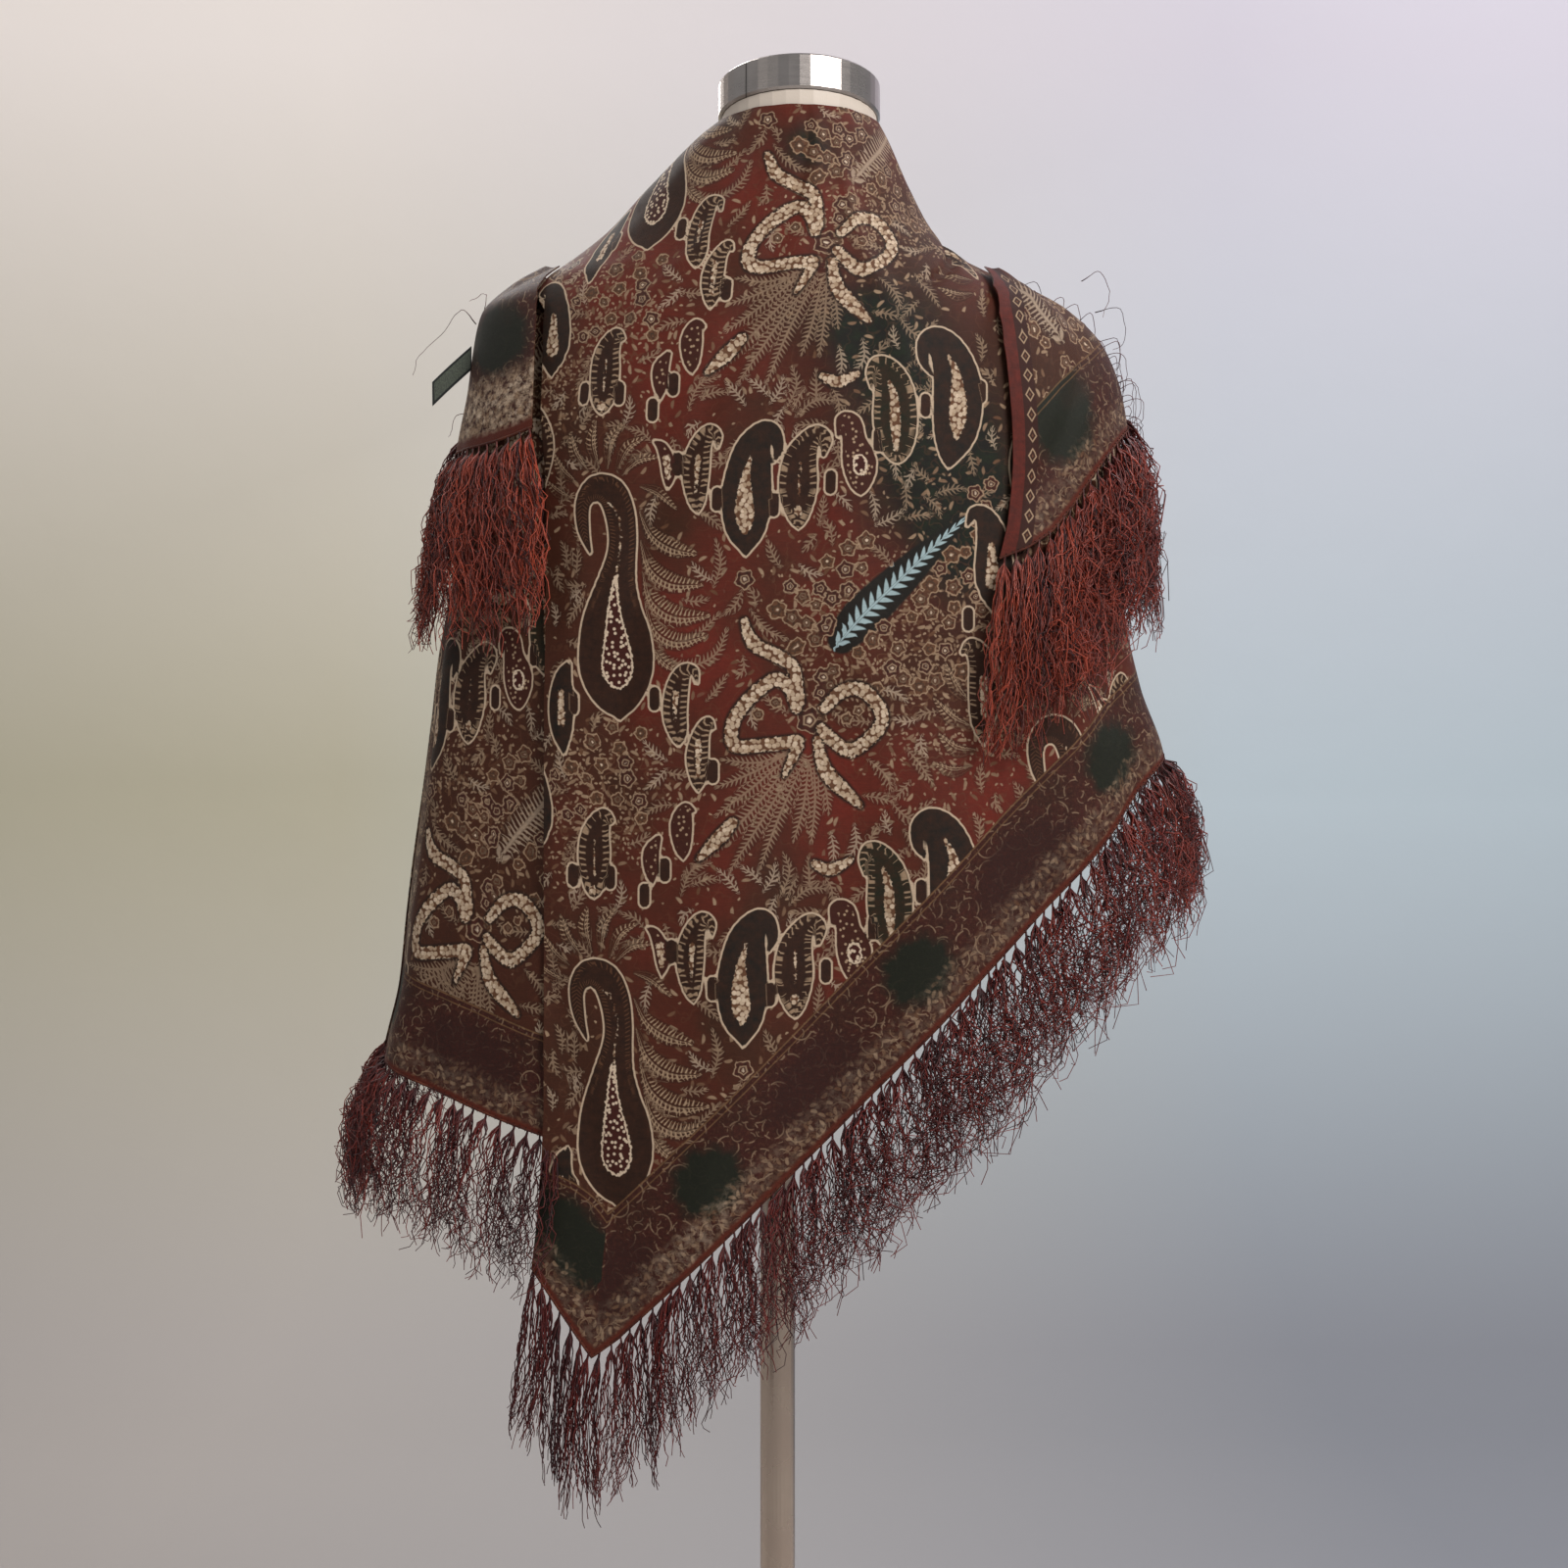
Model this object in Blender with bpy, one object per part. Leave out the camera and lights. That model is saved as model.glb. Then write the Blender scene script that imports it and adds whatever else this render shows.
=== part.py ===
"""A fringed paisley shawl wound round a limbless dress form that stands on a pole.

The shawl is one triangular cut. Its low point hangs on the back, and both of its ends cross at the
front and lie over the opposite shoulders. Every stretch follows one surface, the cape, which is given
by a short table of sections. A place on the cape is a turn and a height. A turn of 0 is the middle of
the back, 1 is the right side, 2 is the middle of the front, and -1 and 3 are the left side.

Metres, +Z up. The back of the shawl faces -Y. The origin is the middle of the base's underside.
"""

import math

import bmesh
import bpy
import numpy as np
from mathutils import Matrix, Vector

# Cloth
WALL = 0.0015
SEAM = 0.0003
LAYER = 0.0060
PLEAT_DROP = 0.0045
PLEAT_LAP = 0.026
SHOULDER_DROP = 0.0075
OVER_EXTRA = 0.0015

# Fringe
STRAND_LENGTH = 0.104
SHORT_STRAND = 0.095
FLAP_STRAND = 0.135
STRAND_PITCH = 0.0135
STRIP_DEPTH = 0.0040
STRIP_WALL = 0.0020
STRAND_TIP = 0.0016
STRAND_TAPER = 0.35
STRAND_JOINTS = ((0.45, 0.008), (1.0, -0.011))
# Where the first end's strands stop hanging over the other end, as a turn.
STRANDS_OVER = 1.60

# Stand
NECK_X = 0.0152
NECK_RADIUS = 0.0547
NECK_TILT = math.radians(7.0)
NECK_TOP = 1.4665
CAP_RADIUS = 0.0570
CAP_HEIGHT = 0.0250
FORM_FOOT = 0.9050
POLE_RADIUS = 0.0122
BASE_RADIUS = 0.165
BASE_EDGE = 0.0060
BASE_RISE = 0.0140

# The cape: how far the cloth stands out at each height. middle is the x of a section's middle,
# left and right are the x of its sides, back and front are its depths, and square is the exponent
# of its curve, where 2 is an ellipse and more is squarer.
CAPE_COLUMNS = ("height", "middle", "left", "right", "back", "front", "square")
CAPE = (
    (0.480, 0.000, -0.292, 0.280, 0.124, 0.140, 2.3),
    (0.620, 0.000, -0.290, 0.280, 0.124, 0.142, 2.3),
    (0.740, 0.000, -0.285, 0.280, 0.126, 0.144, 2.3),
    (0.814, 0.000, -0.2775, 0.280, 0.127, 0.145, 2.3),
    (0.862, 0.000, -0.2665, 0.280, 0.127, 0.146, 2.3),
    (0.910, 0.000, -0.2615, 0.279, 0.127, 0.147, 2.3),
    (0.965, 0.000, -0.2545, 0.277, 0.127, 0.148, 2.3),
    (1.021, 0.000, -0.2470, 0.2705, 0.127, 0.149, 2.3),
    (1.068, 0.000, -0.2405, 0.2535, 0.127, 0.150, 2.3),
    (1.110, 0.000, -0.2335, 0.2445, 0.127, 0.151, 2.3),
    (1.138, 0.001, -0.2285, 0.2420, 0.126, 0.151, 2.3),
    (1.200, 0.003, -0.2220, 0.2400, 0.124, 0.150, 2.2),
    (1.240, 0.004, -0.2160, 0.2380, 0.121, 0.144, 2.2),
    (1.270, 0.005, -0.2105, 0.2350, 0.118, 0.136, 2.1),
    (1.300, 0.006, -0.2065, 0.2250, 0.113, 0.126, 2.0),
    (1.325, 0.008, -0.2015, 0.2020, 0.107, 0.116, 1.9),
    (1.345, 0.010, -0.1820, 0.1660, 0.101, 0.107, 1.8),
    (1.362, 0.012, -0.1520, 0.1375, 0.095, 0.099, 1.75),
    (1.387, 0.014, -0.1190, 0.1090, 0.086, 0.088, 1.8),
    (1.414, 0.015, -0.0945, 0.0945, 0.076, 0.077, 1.9),
    (1.449, 0.0152, -0.0600, 0.0790, 0.062, 0.063, 2.0),
    (1.463, 0.0152, -0.0413, 0.0717, 0.0565, 0.0570, 2.0),
)

# Folds that the cloth hangs in: a ridge where depth is above 0, a trough where it is below.
FOLD_COLUMNS = ("top_turn", "top_height", "low_turn", "low_height", "width", "depth")
FOLDS = (
    (1.08, 1.392, 0.42, 1.335, 0.010, -0.0055),
    (1.08, 1.374, 0.60, 1.310, 0.011, 0.0025),
    (0.52, 1.190, 0.66, 0.900, 0.026, 0.0045),
    (0.70, 1.150, 0.80, 0.950, 0.024, -0.0050),
    (0.30, 1.000, 0.34, 0.700, 0.030, 0.0040),
    (0.12, 1.050, 0.10, 0.650, 0.034, -0.0035),
    (-0.10, 0.950, -0.14, 0.600, 0.030, 0.0045),
    (-0.78, 1.100, -0.80, 0.760, 0.022, 0.0055),
    (-0.90, 1.050, -0.94, 0.780, 0.020, -0.0040),
    (2.80, 1.150, 2.75, 0.800, 0.030, 0.0060),
    (2.45, 1.250, 2.35, 0.900, 0.034, -0.0050),
    (2.15, 1.300, 1.95, 1.000, 0.036, 0.0050),
)

# The lines of the garment on the cape, as a height at each turn.
HEM_UNDER = ((1.0, 1.262), (1.2, 1.250), (1.4, 1.210), (1.6, 1.165), (1.8, 1.110),
             (2.0, 1.045), (2.3, 0.955), (2.6, 0.885), (2.9, 0.826), (3.1, 0.812))
TOP_UNDER = ((1.0, 1.352), (1.3, 1.352), (1.6, 1.352), (2.0, 1.372), (2.4, 1.410),
             (2.75, 1.442), (3.1, 1.460))
HEM_OVER = ((0.95, 1.019), (1.1, 1.022), (1.3, 1.034), (1.5, 1.060), (1.7, 1.098), (1.85, 1.128),
            (2.0, 1.160), (2.3, 1.215), (2.6, 1.252), (2.9, 1.250), (3.1, 1.235))
TOP_OVER = ((0.95, 1.235), (1.2, 1.222), (1.4, 1.178), (1.6, 1.136), (1.75, 1.140), (1.9, 1.190),
            (2.1, 1.262), (2.4, 1.325), (2.7, 1.350), (3.1, 1.357))
HEM_LEFT = ((-1.1, 0.812), (-0.95, 0.815), (-0.75, 0.800), (-0.55, 0.778), (-0.35, 0.758))
NECKLINE = ((-1.2, 1.4605), (-1.0, 1.4610), (0.0, 1.4625), (1.0, 1.4600), (1.3, 1.4520),
            (1.7, 1.4200))

# The back panel's hem, read along x: the low point, and the line up to the right side.
LOW_POINT = (-0.120, 0.623)
PLEAT_FOOT = (-0.1616, 0.6824)
HEM_RIGHT = (0.2705, 1.0210)
HEM_BULGE = 0.010
PLEAT_EDGE = ((0.620, -0.1640), (0.682, -0.1616), (0.720, -0.1570), (0.800, -0.1530), (1.350, -0.1530))

# The flaps' edges: the right one's plain inner edge and hem, and the left one's.
RIGHT_FLAP_EDGE = ((1.148, 0.1430), (1.170, 0.1480), (1.223, 0.1530), (1.262, 0.1510),
                   (1.300, 0.1470), (1.352, 0.1400))
RIGHT_FLAP_HEM = ((0.140, 1.146), (0.170, 1.160), (0.195, 1.187), (0.208, 1.207), (0.232, 1.240),
                  (0.246, 1.262))
LEFT_FLAP_HEM = ((-0.235, 1.230), (-0.200, 1.228), (-0.180, 1.230), (-0.160, 1.236))
LEFT_FLAP_X = -0.1616

# Where stretches meet: the crests of the shoulders, and the turn of the back panel's right edge,
# which higher up goes further on under the other end.
LEFT_CREST = 1.357
RIGHT_CREST = 1.352
BACK_END = 1.03
BACK_UNDER = 0.42
BACK_UNDER_START = 1.285
BACK_UNDER_RISE = 0.060

# The torso's sections, narrower than the cape so that the cloth hangs clear of all but its neck.
FORM_COLUMNS = ("height", "half_width", "back", "front", "square")
FORM = (
    (FORM_FOOT, 0.112, 0.078, 0.086, 2.2),
    (0.9100, 0.122, 0.086, 0.094, 2.2),
    (0.9250, 0.130, 0.092, 0.100, 2.2),
    (0.9600, 0.133, 0.094, 0.100, 2.2),
    (1.0000, 0.130, 0.090, 0.096, 2.2),
    (1.0500, 0.124, 0.084, 0.096, 2.2),
    (1.1000, 0.132, 0.086, 0.106, 2.2),
    (1.1500, 0.146, 0.091, 0.118, 2.2),
    (1.2000, 0.160, 0.095, 0.124, 2.2),
    (1.2400, 0.170, 0.097, 0.120, 2.2),
    (1.2800, 0.178, 0.097, 0.112, 2.1),
    (1.3050, 0.179, 0.094, 0.104, 2.0),
    (1.3250, 0.168, 0.089, 0.097, 1.9),
    (1.3420, 0.145, 0.083, 0.089, 1.9),
    (1.3580, 0.118, 0.077, 0.081, 1.9),
    (1.3780, 0.090, 0.069, 0.072, 2.0),
    (1.4020, 0.068, 0.060, 0.061, 2.0),
    (1.4300, NECK_RADIUS + 0.0005, NECK_RADIUS + 0.0005, NECK_RADIUS + 0.0005, 2.0),
    (NECK_TOP, NECK_RADIUS, NECK_RADIUS, NECK_RADIUS, 2.0),
)
FORM_SIDES = 36

# The label: it leaves the left shoulder sideways and hangs down as it goes.
LABEL_REACH = 0.0270
LABEL_DROP = 0.0255
LABEL_WIDTH = 0.0165
LABEL_WALL = 0.0010
LABEL_START = (-0.2135, -0.0200, 1.2965)

# A quarter of a section is about this share of its half width and depth together, and about this
# long where the folds are measured.
QUARTER_SHARE = 0.80
FOLD_QUARTER = 0.28
SAMPLES_A_QUARTER = 64
# A panel's places are found in this many rounds, and this share of its rows' length is its upper half.
FIT_ROUNDS = 24
UPPER_SHARE = 0.32
SLOPE_STEP = 0.004
TURN_STEP = 0.02

MATERIALS = {
    "printed_cloth": ((0.105, 0.028, 0.018, 1.0), 0.85, 0.0),
    "fringe_yarn": ((0.190, 0.035, 0.022, 1.0), 0.70, 0.0),
    "label_cloth": ((0.010, 0.014, 0.012, 1.0), 0.80, 0.0),
    "form_cream": ((0.780, 0.740, 0.660, 1.0), 0.60, 0.0),
    "polished_metal": ((0.620, 0.600, 0.560, 1.0), 0.15, 1.0),
}


def clear_scene():
    """Remove the objects that a new file starts with."""
    for thing in list(bpy.data.objects):
        bpy.data.objects.remove(thing, do_unlink=True)


def make_materials():
    """One Principled material for each finish."""
    made = {}
    for name, (colour, roughness, metallic) in MATERIALS.items():
        material = bpy.data.materials.new(name)
        material.use_nodes = True
        shader = material.node_tree.nodes["Principled BSDF"]
        shader.inputs["Base Color"].default_value = colour
        shader.inputs["Roughness"].default_value = roughness
        shader.inputs["Metallic"].default_value = metallic
        made[name] = material
    return made


def add_object(name, mesh_points, faces, material):
    """A named object from points and faces, shaded smooth but for its sharp edges."""
    mesh = bpy.data.meshes.new(name)
    mesh.from_pydata([tuple(point) for point in mesh_points], [], faces)
    mesh.validate()
    mesh.materials.append(material)
    thing = bpy.data.objects.new(name, mesh)
    bpy.context.collection.objects.link(thing)
    mesh.shade_smooth()
    mesh.set_sharp_from_angle(angle=math.radians(50.0))
    return thing


def smooth_line(places, values, wanted):
    """Values along a smooth curve through a table's rows, with no overshoot between them."""
    places = np.asarray(places, dtype=float)
    values = np.asarray(values, dtype=float)
    wanted = np.clip(np.asarray(wanted, dtype=float), places[0], places[-1])
    steps = np.diff(places)
    slopes = np.diff(values) / steps
    before = slopes[:-1]
    after = slopes[1:]
    product = before * after
    total = np.where(np.abs(before + after) < 1e-12, 1.0, before + after)
    inner = np.where(product > 0.0, 2.0 * product / total, 0.0)
    tangents = np.concatenate(([slopes[0]], inner, [slopes[-1]]))
    index = np.clip(np.searchsorted(places, wanted, side="right") - 1, 0, len(steps) - 1)
    length = steps[index]
    t = (wanted - places[index]) / length
    rise = values[index + 1] - values[index]
    start = tangents[index] * length
    end = tangents[index + 1] * length
    return values[index] + start * t + (3 * rise - 2 * start - end) * t**2 + (start + end - 2 * rise) * t**3


def table_line(rows, wanted):
    """A smooth curve through rows of two columns."""
    return smooth_line([row[0] for row in rows], [row[1] for row in rows], wanted)


def cape_section(height):
    """The cape's sections at the wanted heights, by column name."""
    heights = [row[0] for row in CAPE]
    section = {}
    for column, name in enumerate(CAPE_COLUMNS[1:], start=1):
        section[name] = smooth_line(heights, [row[column] for row in CAPE], height)
    return section


def quarter_curve(half_width, depth, square, part):
    """A point on a quarter of a section, part of the way along it from its middle to its side."""
    angle = np.linspace(0.0, math.pi / 2.0, SAMPLES_A_QUARTER)
    power = (2.0 / square)[:, None]
    across = half_width[:, None] * np.sin(angle)[None, :] ** power
    out = depth[:, None] * np.cos(angle)[None, :] ** power
    steps = np.hypot(np.diff(across, axis=1), np.diff(out, axis=1))
    along = np.concatenate((np.zeros((len(part), 1)), np.cumsum(steps, axis=1)), axis=1)
    wanted = part[:, None] * along[:, -1:]
    index = np.clip((along < wanted).sum(axis=1) - 1, 0, SAMPLES_A_QUARTER - 2)[:, None]
    low = np.take_along_axis(along, index, axis=1)
    high = np.take_along_axis(along, index + 1, axis=1)
    t = (wanted - low) / np.maximum(high - low, 1e-9)
    point = []
    for line in (across, out):
        before = np.take_along_axis(line, index, axis=1)
        after = np.take_along_axis(line, index + 1, axis=1)
        point.append((before * (1 - t) + after * t)[:, 0])
    return point


def cape_surface(turn, height):
    """Points of the bare cape, with no fold and no lift."""
    section = cape_section(height)
    middle = section["middle"]
    whole = np.floor(turn + 1.0)
    quarter = whole.astype(int) % 4
    part = turn + 1.0 - whole
    on_right = (quarter == 1) | (quarter == 2)
    on_back = quarter <= 1
    from_middle = np.where((quarter == 1) | (quarter == 3), part, 1.0 - part)
    half_width = np.where(on_right, section["right"] - middle, middle - section["left"])
    depth = np.where(on_back, section["back"], section["front"])
    across, out = quarter_curve(half_width, depth, section["square"], from_middle)
    x = middle + np.where(on_right, across, -across)
    y = np.where(on_back, -out, out)
    return np.stack((x, y, height), axis=1)


def cape_normal(turn, height):
    """Outward directions of the cape."""
    sideways = cape_surface(turn + TURN_STEP, height) - cape_surface(turn - TURN_STEP, height)
    upwards = cape_surface(turn, height + SLOPE_STEP) - cape_surface(turn, height - SLOPE_STEP)
    normal = np.cross(sideways, upwards)
    return normal / np.linalg.norm(normal, axis=1)[:, None]


def soft_step(value):
    """A smooth rise from 0 to 1."""
    value = np.clip(value, 0.0, 1.0)
    return value * value * (3.0 - 2.0 * value)


def fold_depth(turn, height):
    """How far the folds move the cloth outwards."""
    depth = np.zeros_like(height)
    for row in FOLDS:
        fold = dict(zip(FOLD_COLUMNS, row))
        down = (fold["top_height"] - height) / (fold["top_height"] - fold["low_height"])
        line = fold["top_turn"] + (fold["low_turn"] - fold["top_turn"]) * np.clip(down, 0.0, 1.0)
        aside = (turn - line) * FOLD_QUARTER / fold["width"]
        fade = soft_step(down * 3.0 + 0.6) * soft_step((1.15 - down) * 3.0)
        depth = depth + fold["depth"] * fade * np.exp(-aside * aside)
    return depth


def cape_points(turn, height, lift):
    """Points of the cloth, lifted off the cape."""
    turn = np.asarray(turn, dtype=float)
    height = np.asarray(height, dtype=float)
    out = np.asarray(lift, dtype=float) + fold_depth(turn, height)
    return cape_surface(turn, height) + cape_normal(turn, height) * out[:, None]


def turn_at(x, height):
    """The turn on the back at which the cape has this x."""
    x = np.asarray(x, dtype=float)
    height = np.asarray(height, dtype=float)
    low = np.full(height.shape, -1.0)
    high = np.full(height.shape, 1.0)
    for _ in range(40):
        mid = (low + high) / 2.0
        below = cape_surface(mid, height)[:, 0] < x
        low = np.where(below, mid, low)
        high = np.where(below, high, mid)
    return (low + high) / 2.0


def seam_turn(height, side):
    """Half a seam's width at a side, as a turn."""
    section = cape_section(height)
    edge = section["right"] if side > 0 else section["left"]
    quarter_length = QUARTER_SHARE * (np.abs(edge - section["middle"]) + section["back"])
    return 0.5 * SEAM / quarter_length


# The panels. Each is a map from across (0 to 1) and down (0 to 1) to a turn and a height.


def back_places(across, down):
    """The wide panel on the back, from the pleat to the right arm."""
    turn = -0.6 + 1.6 * across
    height = 1.46 - 0.5 * down
    for _ in range(FIT_ROUNDS):
        pleat = turn_at(table_line(PLEAT_EDGE, height), height)
        left = np.maximum(pleat, -1.0 + seam_turn(height, -1))
        under = soft_step((height - BACK_UNDER_START) / BACK_UNDER_RISE)
        right = BACK_END - seam_turn(height, 1) + BACK_UNDER * under
        turn = left + (right - left) * across
        x = cape_surface(turn, height)[:, 0]
        hem = back_hem(x, turn)
        top = table_line(NECKLINE, turn)
        height = 0.5 * height + 0.5 * (top + (hem - top) * down)
    return turn, height


def back_hem(x, turn):
    """The height of the back panel's hem at an x, and level with the other end's past the side."""
    rise = (x - LOW_POINT[0]) / (HEM_RIGHT[0] - LOW_POINT[0])
    bulge = HEM_BULGE * np.sin(math.pi * np.clip(rise, 0, 1))
    right = LOW_POINT[1] + (HEM_RIGHT[1] - LOW_POINT[1]) * rise - bulge
    slope = (PLEAT_FOOT[1] - LOW_POINT[1]) / (PLEAT_FOOT[0] - LOW_POINT[0])
    left = LOW_POINT[1] + (x - LOW_POINT[0]) * slope
    return np.where(x < LOW_POINT[0], left, np.minimum(right, HEM_RIGHT[1]))


def left_places(across, down):
    """The stretch behind the pleat, round the left arm."""
    turn = -1.0 + 0.6 * across
    height = 1.34 - 0.5 * down
    for _ in range(FIT_ROUNDS):
        left = -1.0 + seam_turn(height, -1)
        right = turn_at(table_line(PLEAT_EDGE, height) + PLEAT_LAP, height)
        turn = left + (right - left) * across
        hem = table_line(HEM_LEFT, turn)
        height = 0.5 * height + 0.5 * (LEFT_CREST + (hem - LEFT_CREST) * down)
    return turn, height


def front_under_places(across, down):
    """The same end going on across the front to the right shoulder's crest."""
    turn = 1.0 + 2.0 * across
    height = 1.36 - 0.3 * down
    for _ in range(FIT_ROUNDS):
        left = 1.0 + seam_turn(height, 1)
        right = 3.0 - seam_turn(height, -1)
        turn = left + (right - left) * across
        top = table_line(TOP_UNDER, turn)
        hem = table_line(HEM_UNDER, turn)
        height = 0.5 * height + 0.5 * (top + (hem - top) * down)
    return turn, height


def right_flap_places(across, down):
    """The corner of that end, on the back of the right shoulder."""
    turn = 0.6 + 0.4 * across
    height = 1.34 - 0.15 * down
    for _ in range(FIT_ROUNDS):
        edge = turn_at(table_line(RIGHT_FLAP_EDGE, height), height)
        right = 1.0 - seam_turn(height, 1)
        turn = edge + (right - edge) * across
        x = cape_surface(turn, height)[:, 0]
        hem = table_line(RIGHT_FLAP_HEM, x)
        height = 0.5 * height + 0.5 * (RIGHT_CREST + (hem - RIGHT_CREST) * down)
    return turn, height


def front_over_places(across, down):
    """The other end, from the right arm across the front to the left shoulder's crest."""
    turn = BACK_END + (3.0 - BACK_END) * across
    height = 1.2 - 0.1 * down
    for _ in range(FIT_ROUNDS):
        left = BACK_END + seam_turn(height, 1)
        right = 3.0 - seam_turn(height, -1)
        turn = left + (right - left) * across
        top = table_line(TOP_OVER, turn)
        hem = table_line(HEM_OVER, turn)
        height = 0.5 * height + 0.5 * (top + (hem - top) * down)
    return turn, height


def left_flap_places(across, down):
    """The corner of the other end, on the back of the left shoulder."""
    turn = -1.0 + 0.3 * across
    height = 1.33 - 0.1 * down
    for _ in range(FIT_ROUNDS):
        left = -1.0 + seam_turn(height, -1)
        edge = turn_at(np.full(height.shape, LEFT_FLAP_X), np.minimum(height, RIGHT_CREST))
        turn = left + (edge - left) * across
        x = cape_surface(turn, height)[:, 0]
        hem = table_line(LEFT_FLAP_HEM, x)
        height = 0.5 * height + 0.5 * (LEFT_CREST + (hem - LEFT_CREST) * down)
    return turn, height


def no_lift(turn, height):
    """Cloth that lies on the cape itself."""
    return np.zeros_like(turn)


def left_lift(turn, height):
    """The stretch behind the pleat sinks under the back panel, beside it and at the shoulder."""
    beside = PLEAT_DROP * soft_step((turn + 0.86) / 0.16)
    above = SHOULDER_DROP * soft_step((height - 1.306) / 0.026) * soft_step((turn + 1.0) / 0.07)
    return -np.maximum(beside, above)


def under_lift(turn, height):
    """The end that is laid first rises over the right shoulder's cloth."""
    return LAYER * soft_step((1.95 - turn) / 0.30)


def right_flap_lift(turn, height):
    """The right corner lies on the back panel."""
    return np.full_like(turn, LAYER)


def over_lift(turn, height):
    """The end that is laid last comes out from below the other and then lies on it."""
    return (LAYER + OVER_EXTRA) * soft_step((turn - 1.12) / 0.26)


def left_flap_lift(turn, height):
    """The left corner lies on the stretch round the left arm."""
    return np.full_like(turn, LAYER + OVER_EXTRA)


def grid_faces(columns, rows, flip):
    """Quads of a grid of points, counted row by row."""
    faces = []
    for row in range(rows):
        for column in range(columns):
            a = row * (columns + 1) + column
            quad = (a, a + columns + 1, a + columns + 2, a + 1)
            faces.append(tuple(reversed(quad)) if flip else quad)
    return faces


def row_steps(rows):
    """Rows of a panel, closer together in its upper part, which bends over the shoulder."""
    upper = rows // 2
    above = np.linspace(0.0, UPPER_SHARE, upper + 1)
    below = np.linspace(UPPER_SHARE, 1.0, rows - upper + 1)
    return np.concatenate((above, below[1:]))


def cloth_panel(name, places, lift, across_steps, rows, material):
    """A stretch of cloth as a thin closed wall between its outer and inner points. Gives its hem."""
    across_steps = np.asarray(across_steps)
    down_steps = row_steps(rows)
    columns = len(across_steps) - 1
    across = np.tile(across_steps, rows + 1)
    down = np.repeat(down_steps, columns + 1)
    turn, height = places(across, down)
    raised = lift(turn, height)
    outer = cape_points(turn, height, raised)
    inner = cape_points(turn, height, raised - WALL)
    count = len(outer)
    faces = grid_faces(columns, rows, False)
    faces += [tuple(index + count for index in reversed(face)) for face in faces]
    rim = list(range(columns + 1))
    rim += [row * (columns + 1) + columns for row in range(1, rows + 1)]
    rim += [rows * (columns + 1) + column for column in range(columns - 1, -1, -1)]
    rim += [row * (columns + 1) for row in range(rows - 1, 0, -1)]
    for place, start in enumerate(rim):
        end = rim[(place + 1) % len(rim)]
        faces.append((start, end, end + count, start + count))
    add_object(name, np.concatenate((outer, inner)), faces, material)
    hem = slice(count - columns - 1, count)
    return outer[hem], inner[hem], turn[hem], height[hem]


def even_steps(count):
    """Even columns from one edge of a panel to the other."""
    return np.linspace(0.0, 1.0, count + 1)


def back_steps(count):
    """Columns of the back panel, one of them through its low point."""
    turns = turn_at(np.array([PLEAT_FOOT[0], LOW_POINT[0]]), np.array([PLEAT_FOOT[1], LOW_POINT[1]]))
    low_point = (turns[1] - turns[0]) / (BACK_END - turns[0])
    before = np.linspace(0.0, low_point, 3)
    after = np.linspace(low_point, 1.0, count - 1)
    return np.concatenate((before, after[1:]))


def hem_part(hem, start, end, samples):
    """Even places along a panel's hem: their outer and inner points, turns and heights."""
    outer, inner, turn, height = hem
    along = np.concatenate(([0.0], np.cumsum(np.linalg.norm(np.diff(outer, axis=0), axis=1))))
    wanted = np.linspace(along[-1] * start, along[-1] * end, samples)
    columns = [outer[:, axis] for axis in range(3)] + [inner[:, axis] for axis in range(3)]
    read = [np.interp(wanted, along, column) for column in columns + [turn, height]]
    return np.stack(read[0:3], axis=1), np.stack(read[3:6], axis=1), read[6], read[7]


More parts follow.
